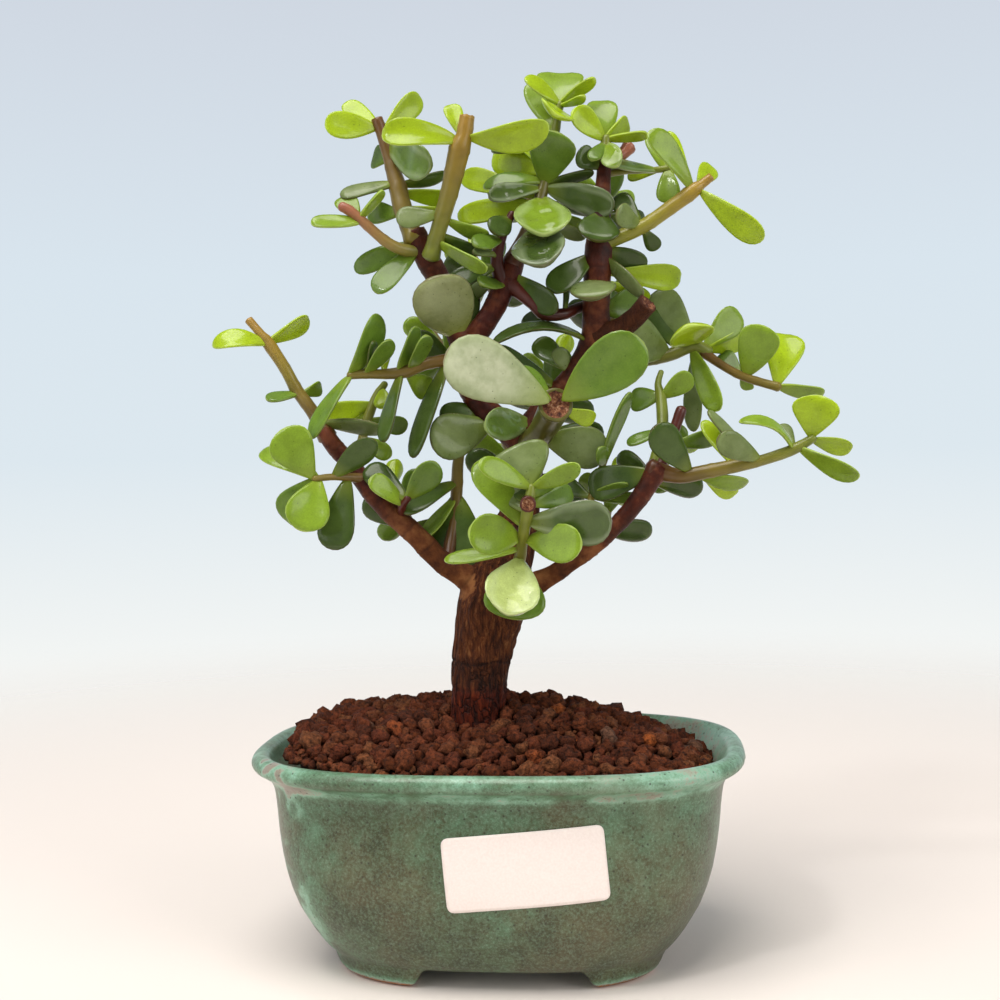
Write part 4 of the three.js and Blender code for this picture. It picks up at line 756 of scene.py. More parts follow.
# The rings of a pruned end from its rim inwards: each one's size and how far it stands out, as
# shares of the radius and in millimetres. Those smaller than CUT_FACE are bare wood.
CUT_RINGS = [(0.93, 0.12), (0.8, 0.05), (0.74, -0.25), (0.5, -0.3), (0.25, -0.25), (0.06, -0.3)]
CUT_FACE = 0.79


def cut_end(bm, edges, along, radius, wood_slot):
    """Closes an open end: a rolled rim of bark, then a sunken, uneven face of cut wood."""
    for scale, sink in CUT_RINGS:
        made, edges = extrude_ring(bm, edges)
        centre = sum((v.co for v in made), Vector()) / len(made)
        reach = sum((v.co - centre).length for v in made) / len(made)
        bare = scale < CUT_FACE
        for v in made:
            uneven = noise.noise(v.co * 900) * 0.5 if bare else noise.noise(v.co * 1400) * 0.45
            v.co = centre + (v.co - centre) * (scale + 0.1 * uneven) * radius * MM / reach
            v.co += along * (sink + uneven) * min(radius / 3, 1) * MM
        for face in {f for v in made for f in v.link_faces} if bare else ():
            face.material_index = wood_slot
    for face in bmesh.ops.edgeloop_fill(bm, edges=edges)["faces"]:
        face.material_index = wood_slot


def close_foot(bm):
    """Closes the buried foot of a stem or a stub."""
    bmesh.ops.holes_fill(bm, edges=[e for e in bm.edges if e.is_boundary])


STUB_SIDES, STUB_BARK = 24, (0.5, 0.15, 0.35)
for name, points in STUBS.items():
    bm = bmesh.new()
    for layer in BARK_LAYERS:
        bm.verts.layers.float.new(layer)
    tint_layer = bm.verts.layers.float_color.new("tint")
    path = sighted_path(points, 0.8)
    made, edges = loft(bm, STUB_SIDES, limb_rings(path), capped=False)
    for v in made:
        v.co += (v.co - POT_PLACE).normalized() * noise.noise(v.co * 300) * 0.3 * MM
    cut_end(bm, edges, (path[-1][0] - path[-2][0]).normalized(), path[-1][1], 1)
    close_foot(bm)
    for v in bm.verts:
        for layer, value in zip(BARK_LAYERS, STUB_BARK):
            v[bm.verts.layers.float[layer]] = value
        v[tint_layer] = linear(STEM_COLOURS["stub olive"])
    finish_piece(bm, name + "_wood", [stem_skin if name == "front_stub" else bark, cut_wood], [name])

# The shoots are this year's and last year's growth: round, slightly fleshy stems, maroon where
# they start and olive or golden at the tip, that carry opposite pairs of thick, round leaves.
# A leaf is [base across, base up, tip across, tip up, tip near, width, turn, age, arch]: tip near
# counts from the base, turn is in degrees from facing the eye, and age picks its colours.
SHOOTS = {
    "right_branch": {"leaves": [[37, 9, 22, 3, -5, 9, 10, "d"]]},
    "left_leader": {"leaves": [
        [-0.8, 19, -17.3, 14.3, 10, 11.5, 5, "g"], [-3.8, 22.5, -15, 20.3, 3, 7.5, 10, "d"],
        [-7.8, 39.5, -7.8, 54, -3, 5.5, 25, "d"],
        [2.3, 57, 14.3, 47.3, 7, 6.5, 20, "d"], [2, 54, -4.8, 54.2, 9, 6, 55, "m"],
    ]},
    "right_leader": {"leaves": [
        [8, 20, -3.6, 18.4, 15, 8.5, 15, "m*"], [21, 62.5, 12.3, 52.3, 5, 7.5, 30, "d"],
        [23, 55, 22.8, 50.6, 14, 12.5, 20, "g"],
        [21, 41, -2, 39.3, 8, 6.5, 70, "d", 0.16], [26.8, 47, 35, 49.3, -5, 9, 0, "m"],
        [27, 63, 36.5, 57.8, -4, 7, 10, "d"], [26.8, 61.5, 35.8, 51, 6, 5.5, 45, "g"],
        [27, 57, 45.5, 55.5, -9, 6.5, 5, "y"], [26.3, 55, 37.5, 50.5, -8, 4, 20, "y"],
        [25, 73, 24.3, 65, 8, 10.5, 0, "d"], [25, 83, 19.3, 86.8, 3, 6, 20, "d"],
        [14.5, 28, -0.8, 38.3, 5, 6, 55, "d"], [18, 32, 8.8, 40, -6, 6, 10, "m"],
        [17.5, 31, 14, 38, 3, 4.5, 10, "g"],
    ]},
    "front_stub": {"leaves": [
        [12.3, 25, -13.5, 37, 9, 15.5, 0, "w"], [16.5, 23, 35.8, 39.5, 9, 15, 0, "m"],
        [15.5, 25.5, 5, 33.5, -4, 4.8, 45, "m"], [15.5, 22.5, 23.8, 20, -6, 4.5, 20, "y"],
        [10.5, 14.5, 26.8, 12, 2, 11, 10, "g"], [11, 15, 26, 16, -6, 8, 10, "d"],
    ]},
    "upper_left_leader": {"leaves": [
        [-13, 39.5, -16.5, 55.8, 14, 16.5, 0, "r"], [-24, 62, -31.3, 52, 6, 7, 30, "m"],
        [-25, 62.5, -36.5, 57.5, -2, 6, 20, "m"],
    ]},
    "right_outer": {
        "skin": ["maroon", "olive", "green"],
        "stem": [[39.3, 7.3, 10, 2.2], [45, 6, 10, 1.9], [52, 7.2, 11, 1.8], [60, 8.8, 12, 1.7],
                 [65, 9.8, 12, 1.4], [73, 12.5, 12, 1.4], [78.3, 15.5, 12, 1.1]],
        "leaves": [
            [48, 6.5, 38.5, 18.3, 9, 8.5, 10, "d"], [65.3, 10, 54.5, 15.5, 7, 7, 5, "g"],
            [64.3, 10, 52, 22.5, -3, 5, 60, "g"], [58.5, 8.5, 50.8, 20, -7, 4, 30, "y"],
            [48.8, 6.5, 62, 4, -4, 6, 50, "l"], [50, 6.5, 58.8, 1, -9, 5, 20, "y"],
            [77.8, 15, 79.5, 26, 4, 11.5, 0, "y"], [74.3, 13, 89.8, 5.5, 5, 6, 40, "l"],
            [78, 14.3, 88, 12.5, -5, 5, 30, "y"], [73, 13.3, 59.8, 19.8, 3, 4.5, 65, "l", 0.2],
            [73.3, 13.5, 70.5, 19, -6, 3.5, 20, "g"],
        ]},
    "left_tip": {
        "skin": ["umber", "olive", "amber"], "cut": True,
        "stem": [[-44, 17.3, 1, 2.1], [-46.8, 22, 1, 1.7], [-50.8, 27.5, 0, 1.6], [-53.8, 33, 0, 1.5],
                 [-58, 39.3, -1, 1.6], [-59.8, 41.5, -1, 1.1], [-62.8, 45, -2, 1.1]],
        "leaves": [
            [-58.5, 38.5, -72, 38.8, 4, 6.5, 45, "y", 0.1], [-57, 39.8, -47.5, 45.3, -4, 6, 45, "y"],
            [-50, 27, -58.5, 25.3, 4, 5, 60, "m"], [-49.3, 26.8, -44.5, 28.3, -5, 4, 20, "l"],
            [-44.5, 19.5, -28.8, 17.5, 5, 6, 55, "g"],
        ]},
    "left_low": {
        "skin": ["umber", "olive"],
        "stem": [[-35, 5.5, 5, 1.2], [-41.3, 5.8, 8, 0.9], [-46.5, 5.3, 10, 0.8]],
        "leaves": [
            [-46.8, 5.3, -54.8, 17.5, 4, 11, 0, "l"], [-45.5, 5.5, -59.8, 12.3, -7, 7, 40, "l"],
            [-46, 5.8, -53.5, -5.5, -3, 10, 10, "m"], [-45, 5.3, -49.8, -7.5, 6, 11, 0, "l"],
            [-38, 5.3, -42, -12.5, 3, 9.5, 15, "d"], [-41.8, 5.8, -31.3, 15, 5, 7, 20, "d"],
        ]},
    "left_side": {
        "skin": ["umber", "olive"],
        "stem": [[-9.8, 35.5, 1, 1.9], [-13.5, 35, 3, 1.6], [-18.5, 34, 4, 1.5], [-24, 32, 5, 1.6],
                 [-28.5, 31.5, 5, 1.3], [-33.5, 31.5, 5, 1.2], [-37.5, 31.2, 5, 1.1]],
        "leaves": [
            [-37.8, 31, -47.3, 15.5, 6, 6.5, 60, "m"], [-37.8, 31.5, -30.3, 46.5, 2, 7.5, 40, "m", 0.12],
            [-33, 32, -31.5, 39.8, 4, 3.5, 55, "d"], [-36, 32, -33, 37.5, -4, 4, 30, "y"],
            [-33.5, 31, -27.3, 40, 6, 5.5, 45, "m"], [-29, 32, -28.8, 39.5, -7, 3.5, 20, "y"],
            [-25.3, 32.5, -20.8, 43.3, 4, 6, 50, "m"], [-22, 33, -19.8, 41, -3, 4.5, 50, "d"],
            [-22.3, 32.5, -18.3, 41, 8, 6, 45, "m"], [-24.8, 32, -29.3, 14.5, 7, 6, 55, "d"],
            [-23.8, 32, -17.3, 26.8, -7, 6, 0, "l"], [-13, 34.5, -22, 10.5, 5, 6.5, 50, "d"],
        ]},
    "left_inner": {
        "skin": ["olive", "green"],
        "stem": [[-35.5, 9, 1, 1.3], [-34, 17, -3, 1.2], [-31.3, 25, -5, 1.2], [-28.8, 29, -5, 0.9]],
        "leaves": [
            [-31.5, 24.3, -43.8, 20.5, -2, 6.5, 0, "y"], [-32.5, 23, -38.3, 19.8, -7, 4.5, 10, "y"],
            [-29.5, 28, -29.3, 23, 4, 4.5, 20, "y"], [-33, 20, -23, 18.3, -3, 5, 20, "m"],
            [-34.5, 15.5, -27.3, 11, 3, 5, 10, "l"],
        ]},
    "left_bud": {
        "skin": ["maroon", "maroon"],
        "stem": [[-24.5, -4, 4, 1.1], [-24.4, -1.5, 8, 1], [-23, 0.5, 10, 0.9]],
        "leaves": [
            [-24.5, -0.8, -32.5, 5.5, 4, 6, 30, "l"], [-23.8, 0.5, -33.3, 8.5, -5, 7, 20, "d"],
            [-23.3, 0.5, -15.8, 9.3, 3, 7.5, 25, "m"],
        ]},
    "inner_left": {
        "skin": ["maroon", "olive"],
        "stem": [[-13, -14, 2, 1.6], [-11.5, -5, -2, 1.5], [-10.8, 2.5, -3, 1.5], [-10.5, 9.3, -2, 1.4],
                 [-9.5, 14, -1, 1]],
        "leaves": [
            [-10.8, 2, -11, -17.8, 5, 15, 10, "d"], [-11.3, 4.5, -24, -3.3, 10, 6.5, 40, "d"],
            [-10.8, 1.3, -19.3, -9.5, 6, 5, 45, "l"],
        ]},
    "front_shoot": {
        "skin": ["olive", "green"],
        "stem": [[2.5, -22, 6, 2], [4.8, -15, 14, 1.6], [5.5, -11, 17, 1.4], [6, -7.5, 20, 1.5],
                 [7, -2, 23, 1.5], [7.9, 3.3, 23, 1.1]],
        "leaves": [
            [7.8, 3, -5.3, 9.5, 5, 6.5, 25, "l"], [8, 3, 20, 8.5, 5, 5.5, 25, "l"],
            [5, -9.8, -7.5, -7.8, 9, 11, 0, "l"], [6.5, -10, 20.3, -11.3, 9, 10, 0, "l"],
            [5.5, -13, 2, -27.8, 13, 15, 0, "p*"], [4, -16, 3.3, -29.8, 5, 16.5, 0, "m"],
            [4.8, -12, -14, -15, 1, 5, 45, "l"], [5.5, -7, -5.5, 10, -5, 8.5, 10, "l"],
            [6.5, -3.3, -0.3, 5, -8, 6.5, 10, "g"], [7, -1.3, 2, 5.5, -12, 5, 10, "d"],
            [8, 3, 3, 13.5, -2, 17, 0, "g"], [9, 0.5, 14, 4.5, 0, 3.5, 40, "m"],
            [7.5, -1.3, 18.3, 2, -6, 6, 10, "m"], [6.5, -5.5, 28, -5.5, 4, 12, 15, "d*"],
        ]},
    "front_cut": {
        "skin": ["maroon", "maroon"], "cut": True,
        "stem": [[7, -0.8, 25, 1.6], [7, -1.1, 28, 2]], "leaves": []},
    "right_inner": {
        "skin": ["olive", "olive"],
        "stem": [[23, -12.5, 7, 1.2], [22.8, -4, 6, 1], [22.8, 0.5, 5, 0.9], [25, 7, 3, 0.9],
                 [26.3, 10, 3, 0.7]],
        "leaves": [
            [23, 0.8, 35.8, 0.3, -2, 5, 50, "m"], [22.8, 1.5, 32, 4, 5, 4, 50, "m"],
            [26, 8, 32.8, 27, 5, 6.5, 65, "m"], [26, 8.5, 25, 13, 5, 4.5, 40, "m"],
            [22.8, 0.5, 15, 4.5, -6, 4.5, 10, "d"],
        ]},
    "right_rise": {
        "skin": ["green", "green"],
        "stem": [[38.2, 8, 8, 1.4], [40.5, 17, 5, 1.5], [40.3, 25, 1, 1.4], [39.5, 29, -1, 0.9],
                 [40.3, 32, -2, 0.7]],
        "leaves": [
            [39, 25.8, 32.5, 24.5, -5, 6.5, 20, "m"], [40.3, 25.5, 48, 31.3, 1, 6, 20, "l"],
            [38.8, 17.5, 31.8, 14, 2, 4, 40, "m"],
        ]},
    "red_bud": {
        "skin": ["maroon", "maroon"],
        "stem": [[39.8, 8, 8, 1.5], [42, 13, 7, 1.4], [45.3, 22.5, 6, 1.4]],
        "leaves": [[42.5, 13.5, 55.5, 16.3, -5, 5, 25, "m"]]},
    "right_mid": {
        "skin": ["umber", "green"],
        "stem": [[21.5, 33.5, -4, 1.8], [30, 34, -8, 1.6], [41.5, 36, -9, 1.6], [48, 38.5, -9, 1.7],
                 [52, 37, -9, 1.5]],
        "leaves": [
            [43, 35.5, 30.5, 41.3, 7, 12, 10, "g"], [45, 37.5, 37.5, 47.8, -2, 6, 20, "d"],
            [48.5, 39, 38.8, 52.3, -3, 9, 10, "g"], [48.5, 39, 47.5, 43, 11, 12.5, 10, "y"],
            [48, 37, 54.5, 22.3, 7, 6.5, 25, "l"], [48.3, 36.8, 48.3, 17, -2, 5, 25, "g"],
            [50.8, 38.5, 60, 47, -4, 7.5, 10, "l"], [50.8, 37.5, 62, 41.3, -8, 6, 35, "y"],
            [41, 36.5, 35.8, 43, -7, 3.5, 20, "y"],
        ]},
    "right_far": {
        "skin": ["umber", "olive"],
        "stem": [[51.5, 36.5, -9, 1.2], [55, 34, -8, 1.1], [60, 31.2, -7, 1.1], [65, 29.5, -6, 1.1],
                 [69.5, 28.3, -5, 1.2]],
        "leaves": [
            [61.5, 31, 66, 43.5, 6, 11, 5, "l"], [69.3, 28.5, 71.3, 41.8, -7, 10, 10, "y"],
            [69.5, 28, 81, 26.3, -4, 5.5, 45, "l"], [60.3, 31.5, 55.3, 36.8, -6, 5, 10, "m"],
            [60.5, 31, 62.3, 27.5, -4, 3.5, 20, "l"],
        ]},
    "pink_shoot": {
        "skin": ["green", "pink"],
        "stem": [[-20.8, 62, 5, 1.5], [-25, 62.8, 7, 1.5], [-29, 65, 8, 1.4], [-34.5, 69.8, 8, 1.3],
                 [-37.5, 72.3, 8, 1.3], [-39.5, 73.3, 8, 1.3]],
        "leaves": [
            [-34, 70.5, -47.3, 69.5, 3, 5.5, 50, "l"], [-34.5, 70.8, -29, 77.3, 3, 4, 55, "l"],
            [-34.8, 71, -39.8, 75.8, -5, 6, 20, "l"],
        ]},
    "upper_left": {
        "skin": ["olive", "umber"], "cut": True,
        "stem": [[-22, 66.5, 4, 2.4], [-24.5, 73.5, 2, 2.4], [-25.5, 78, 1, 2.3], [-27.5, 85, 0, 1.7],
                 [-28.8, 89.5, 0, 1.6], [-29.8, 92.5, 0, 1.5], [-30.8, 95.3, 0, 1.5]],
        "leaves": [
            [-30.3, 93, -43.8, 94, 4, 7.5, 20, "y"], [-28.5, 92.5, -38.8, 99.5, -4, 6, 35, "y"],
            [-28, 92.5, -19.8, 101, -5, 6, 10, "y"], [-27.5, 89, -17.5, 83, 10, 9.5, 20, "m*"],
            [-27.5, 85.5, -31.8, 85.8, -6, 6, 10, "m"], [-26.5, 79, -40, 76, 3, 5.5, 50, "g"],
            [-24.5, 79, -13.3, 81.5, -5, 4.5, 45, "d"], [-24, 77, -11.3, 75, -8, 5.5, 35, "y"],
            [-24.5, 73, -15, 72, -6, 4, 35, "y"], [-24.5, 71.5, -33.3, 71.8, -6, 5.5, 10, "m"],
        ]},
    "tall_shoot": {
        "skin": ["green", "olive", "amber"], "cut": True,
        "stem": [[-16.8, 62.5, 8, 2], [-15, 68.8, 10, 2.1], [-12.5, 77.5, 12, 2.3],
                 [-10.2, 87.5, 14, 2.7], [-9, 91, 14.5, 2.1], [-8.2, 96, 15, 1.9]],
        "leaves": [
            [-10.8, 90.5, -29.5, 91.5, 5, 8.5, 35, "y", 0.1], [-10.5, 90.8, -12.5, 99, -4, 5, 20, "y"],
            [-8, 90, 12.3, 93.3, 4, 8.5, 30, "y", 0.08], [-14, 70.3, -2.8, 66, -4, 4.5, 40, "l"],
            [-16, 64.5, -3.3, 57.5, 6, 5.5, 50, "l"], [-15.5, 66.8, -5.5, 61.3, -4, 4.5, 30, "d"],
            [-14.3, 71.5, -26, 70.3, 1, 6, 30, "g"],
        ]},
    "left_fork": {
        "skin": ["maroon", "maroon"],
        "stem": [[0.5, 54.5, 1, 1.9], [-0.8, 60, 3, 1.6], [0.5, 66, 4, 1.3], [3, 71.5, 4, 1]],
        "leaves": [
            [-0.8, 58.5, -12.5, 54.5, 3, 6, 30, "d"], [-0.5, 57, -7.5, 50.5, -6, 4, 20, "g"],
            [0.8, 65, -6.5, 63.8, 8, 5.5, 40, "m"], [-0.8, 61, -6.8, 62, 7, 3, 50, "g"],
            [2.5, 70.5, -1.8, 67, 5, 6.5, 15, "d"],
        ]},
    "cross_branch": {
        "skin": ["maroon", "maroon"],
        "stem": [[3, 53.5, 1, 1.9], [8.5, 49, 3, 1.7], [11, 46.5, 3, 1.6], [16, 46.5, 1, 1.5],
                 [19, 47.8, -2, 1.4], [24, 49.5, -7, 1.2]],
        "leaves": [[16, 46.8, 16.5, 55, 0, 2.4, 60, "d"], [17, 46, 5.3, 44.8, -6, 5, 50, "d"]]},
    "crown": {
        "skin": ["maroon", "green"],
        "stem": [[3.8, 60.5, 0, 2.4], [6.5, 66, -1, 2], [9, 72, -2, 1.7], [11, 79, -3, 1.5],
                 [13, 87, -3, 1.3], [14, 93, -3, 1.1], [15, 99, -3, 1]],
        "leaves": [
            [8, 69, 10.8, 59.5, 17, 14, 0, "d*"], [11, 78.5, 14, 92, 10, 12.5, 0, "m"],
            [10.8, 77, 10.8, 67.3, 15, 15, 0, "l*"], [13, 88.8, -2.3, 87.5, -1, 5.5, 55, "d"],
            [11.5, 81.5, -2, 86, -7, 8, 0, "y"], [11, 79.5, -4.3, 78.3, 0, 5, 45, "m", 0.08],
            [10.5, 78, -2.8, 75.8, 7, 5.5, 35, "d*"], [9.8, 74.5, -10.8, 70.8, -7, 6, 20, "y"],
            [10, 75.5, -9.8, 81, -10, 6, 15, "y"], [11, 78, 28.5, 73.3, 8, 8.5, 15, "d*"],
            [11, 78.8, 23.5, 82, 3, 4, 40, "d"], [9.3, 73, 21, 68, -8, 4.5, 20, "l"],
            [8.5, 71, 21.5, 65.5, -2, 3.8, 30, "g"], [15, 99, 6.3, 105.8, 3, 5, 45, "y"],
            [15, 99, 24, 105.3, 3, 4.5, 45, "y"], [15, 98.5, 15, 107, -8, 11.5, 0, "l"],
            [15, 98.3, 14, 97, 11, 9.5, 0, "y"], [13.5, 92, 7.5, 104.5, -5, 6.5, 10, "l"],
            [15, 98.5, 21.3, 100.8, 6, 2.8, 40, "y"],
        ]},
    "right_crown": {
        "skin": ["olive", "green"],
        "stem": [[26.4, 87.5, -1, 1.5], [26.5, 90.5, -1, 1.2]],
        "leaves": [
            [26.5, 90, 25, 100, -6, 8, 10, "l"], [26.5, 90, 18.3, 97.5, 5, 7, 25, "y"],
            [26.5, 90, 37, 91.3, 3, 4.5, 50, "y"], [26.5, 90, 32.3, 94.5, -3, 6, 40, "y"],
            [26.5, 89.5, 29, 83.5, 7, 6, 10, "l*"], [26.3, 89.5, 22.8, 85, 5, 4, 20, "m"],
        ]},
    "knob_stub": {
        "skin": ["pink", "pink"], "cut": True,
        "stem": [[26.2, 84, -2, 1.4], [30, 86, -5, 1.5], [32.5, 88.5, -6, 1.8]], "leaves": []},
    "thin_shoot": {
        "skin": ["olive", "green"],
        "stem": [[26, 81.5, -2, 0.9], [32.5, 82.3, -5, 0.8], [38.8, 82.5, -7, 0.8], [42.3, 83, -7, 0.9]],
        "leaves": [
            [39, 83.3, 28, 84.3, 7, 4, 50, "m*"], [42, 82, 42.3, 74.3, 2, 6.5, 10, "l"],
            [41, 83, 38, 91.3, -4, 5.5, 20, "l"], [42, 83, 46.5, 82, -3, 2.8, 20, "y"],
            [40, 82.3, 31.8, 80.8, -5, 3.5, 30, "y"],
        ]},
    "right_upper": {
        "skin": ["green", "gold", "amber"], "cut": True,
        "stem": [[24.8, 63.8, 1, 1.9], [35, 68, 3, 1.8], [42.5, 73, 4, 1.8], [48.3, 77.3, 5, 1.9],
                 [50.5, 79, 5, 1.2], [52.8, 80.8, 5, 1.1]],
        "leaves": [
            [35.5, 68, 29.3, 72.3, 6, 6, 20, "g"], [36, 68, 28.8, 76, -6, 5.5, 10, "d"],
            [36, 67.5, 39.3, 62.5, -4, 4, 10, "d"], [48.3, 77.5, 37.5, 92.5, 4, 7, 40, "l"],
            [49.8, 77, 65.8, 65, 5, 7, 20, "y"], [49.5, 78, 53, 83.5, -8, 5.5, 10, "y"],
            [47.8, 78, 41.8, 92.3, -6, 4, 25, "y"],
        ]},
}
# Each age's blade colour, edge colour (a purple brown margin on old blades, and a pale painted glow of light
# through the margin on the greener ones), how strong the edge is, how much grey bloom it has, how far it
# draws in at its base, and how deep it is cupped, as a share of its width.
AGES = {
    "y": ("#99b21c", "#c4da64", 0.55, 0.0, 0.85, 0.15), "l": ("#799523", "#b6cc62", 0.55, 0.02, 0.8, 0.13),
    "m": ("#597719", "#9aa852", 0.5, 0.04, 0.75, 0.1), "d": ("#3a5110", "#5a4a22", 0.5, 0.04, 0.75, 0.08),
    "g": ("#5c7026", "#625033", 0.55, 0.2, 0.75, 0.05), "w": ("#768a42", "#7a6048", 0.5, 1.0, 0.65, 0.04),
    "p": ("#b3c370", "#d4e29a", 0.5, 0.06, 0.95, 0.14), "r": ("#788038", "#665440", 0.5, 0.35, 0.6, 0.03),
}


# Jade leaf: a water-filled blade under a waxy skin, yellow green where it is young and at its
# base. Old blades darken and get a thin purple brown edge and a grey bloom that rubs off in
# patches, and pores speckle them. The blade attribute holds the place along, the place towards
# the edge and the bloom. IOR 1.4, near water's.
jade_leaf, shader, place = new_material("jade leaf")
tint = add_node(jade_leaf, "Attribute", attribute_name="tint")
margin_and_glow_tint = add_node(jade_leaf, "Attribute", attribute_name="edge")
blade_data = add_node(jade_leaf, "Attribute", attribute_name="blade")
blade = add_node(jade_leaf, "SeparateColor", {0: blade_data})
flecks = add_node(jade_leaf, "TexNoise", {"Vector": place, "Scale": 240, "Detail": 3, "Roughness": 0.6})
fleck_tone = add_node(jade_leaf, "ValToRGB", {"Fac": flecks}, stops=[(0.3, 0.84), (0.5, 1.0), (0.72, 1.12)])
mottled_leaf = add_node(jade_leaf, "Mix", {"Factor": 1.0, 6: tint, 7: fleck_tone},
                        data_type="RGBA", blend_type="MULTIPLY")
# Cells under the skin, 0.4 mm across: a fine grain in the colour that also paints their sparkle, lighter and
# darker like sugar glints.
cells = add_node(jade_leaf, "TexNoise", {"Vector": place, "Scale": 2600, "Detail": 1})
cell_and_sparkle_tone = add_node(jade_leaf, "ValToRGB", {"Fac": cells}, stops=[(0.35, 0.94), (0.5, 0.99), (0.65, 1.08)])
mottled_leaf = add_node(jade_leaf, "Mix", {"Factor": 1.0, 6: mottled_leaf, 7: cell_and_sparkle_tone},
                        data_type="RGBA", blend_type="MULTIPLY")
base_glow = add_node(jade_leaf, "MapRange", {"Value": blade.outputs["Red"], 1: 0.35, 2: 0.0, 3: 0.0, 4: 0.5})
based = add_node(jade_leaf, "Mix", {"Factor": base_glow, 6: mottled_leaf, 7: linear("#9aa83e")},
                 data_type="RGBA")
rubbed = add_node(jade_leaf, "MapRange", {"Value": flecks, 1: 0.36, 2: 0.6, 3: 0.65, 4: 1.0})
grown = add_node(jade_leaf, "MapRange", {"Value": blade.outputs["Red"], 1: 0.08, 2: 0.5, 3: 0.15, 4: 0.75})
patchy = add_node(jade_leaf, "Math", {0: rubbed, 1: grown}, operation="MULTIPLY")
middle = add_node(jade_leaf, "MapRange", {"Value": blade.outputs["Green"], 1: 0.4, 2: 1.0, 3: 1.0, 4: 0.55})
bloom_here = add_node(jade_leaf, "Math", {0: middle, 1: blade.outputs["Blue"]}, operation="MULTIPLY")
bloom = add_node(jade_leaf, "Math", {0: patchy, 1: bloom_here}, operation="MULTIPLY")
bloomed = add_node(jade_leaf, "Mix", {"Factor": bloom, 6: based, 7: linear("#d6dabd")}, data_type="RGBA")
# The edge colour: a purple brown margin on old blades, and on the greener ones a pale line of painted glow,
# where light shines through the thin margin.
rim = add_node(jade_leaf, "MapRange", {"Value": blade.outputs["Green"], 1: 0.93, 2: 1.0},
               interpolation_type="SMOOTHSTEP")
rim_amount = add_node(jade_leaf, "Math", {0: rim, 1: margin_and_glow_tint.outputs["Alpha"]}, operation="MULTIPLY")
margin_and_glow_coloured = add_node(jade_leaf, "Mix", {"Factor": rim_amount, 6: bloomed, 7: margin_and_glow_tint},
                  data_type="RGBA")
# Pores and bits of dust, 0.2 mm.
dots = add_node(jade_leaf, "TexVoronoi", {"Vector": place, "Scale": 620})
dot_amount = add_node(jade_leaf, "ValToRGB", {"Fac": dots}, stops=[(0.06, 0.5), (0.13, 0.0)])
dotted = add_node(jade_leaf, "Mix", {"Factor": dot_amount, 6: margin_and_glow_coloured, 7: linear("#222a10")},
                  data_type="RGBA")
leaf_gloss = add_node(jade_leaf, "MapRange", {"Value": bloom, 2: 0.6, 3: 0.24, 4: 0.5})
swell = add_node(jade_leaf, "TexNoise", {"Vector": place, "Scale": 300, "Detail": 0})
leaf_relief = add_node(jade_leaf, "Bump", {"Height": swell, "Strength": 0.15, "Distance": 0.0006})
feed(shader, {"Base Color": dotted, "Roughness": leaf_gloss, "Normal": leaf_relief, "IOR": 1.4,
              "Specular IOR Level": 0.35, "Coat Weight": 0.2, "Coat Roughness": 0.05})

# The same leaf with water in its cup: a pale ring of painted sheen, standing for the sky's reflection on the
# wet rim, lies round the pool, and the film swells in waves 8 mm across that throw broad, sharp glints. Only
# the film is waved. Water's IOR.
wet_leaf = jade_leaf.copy()
wet_leaf.name = "wet jade leaf"
shader = wet_leaf.node_tree.nodes["Principled BSDF"]
place = add_node(wet_leaf, "TexCoord").outputs["Object"]
film = add_node(wet_leaf, "TexNoise", {"Vector": place, "Scale": 130, "Detail": 1})
ripple = add_node(wet_leaf, "Bump", {"Height": film, "Strength": 1.0, "Distance": 0.004})
wet_data = add_node(wet_leaf, "Attribute", attribute_name="blade")
wet_blade = add_node(wet_leaf, "SeparateColor", {0: wet_data})
shore = add_node(wet_leaf, "MapRange", {"Value": film, 1: 0.3, 2: 0.7, 3: -0.2, 4: 0.2})
outward = add_node(wet_leaf, "Math", {0: wet_blade.outputs["Green"], 1: shore}, operation="ADD")
# A pale ring of painted sheen round the pool, mixed into the base colour.
painted_sheen_ring = add_node(wet_leaf, "ValToRGB", {"Fac": outward}, stops=[(0.45, 0.0), (0.75, 0.22), (0.97, 0.1)])
skin_colour = shader.inputs["Base Color"].links[0].from_node
sheen_ringed = add_node(wet_leaf, "Mix", {"Factor": painted_sheen_ring, 6: skin_colour, 7: linear("#cfdcb6")},
                  data_type="RGBA")
feed(shader, {"Base Color": sheen_ringed, "Coat Normal": ripple, "Coat Weight": 1.0, "Coat Roughness": 0.02,
              "Coat IOR": 1.33})


def leaf_frame(base, tip, turn):
    """The direction that a blade's face points, turned from the eye about its own length."""
    along = (tip - base).normalized()
    to_eye = EYE - base
    facing = (to_eye - along * to_eye.dot(along)).normalized()
    facing.rotate(Quaternion(along, math.radians(turn)))
    return facing


# How squarely a blade is rounded off at its tip, and how fast it widens before that.
TIP_SQUARENESS = 3.4
# The steps of a blade's ball, its thinnest half thickness, and what its half width adds to that.
LEAF_STEPS, LEAF_THINNEST, LEAF_PLUMPNESS = (18, 14), 0.5, 0.09
LEAF_SLOT, WET_SLOT, CUT_SLOT = 1, 3, 2


def blade_width(t, draw_in):
    """A jade leaf's half width along its length: drawn in at the base, widest past the middle."""
    widest = draw_in / (draw_in + TIP_SQUARENESS / 2)
    most = widest ** (draw_in / TIP_SQUARENESS) * math.sqrt(1 - widest)
    return max(t, 0) ** draw_in * math.sqrt(max(1 - t ** TIP_SQUARENESS, 0)) / most


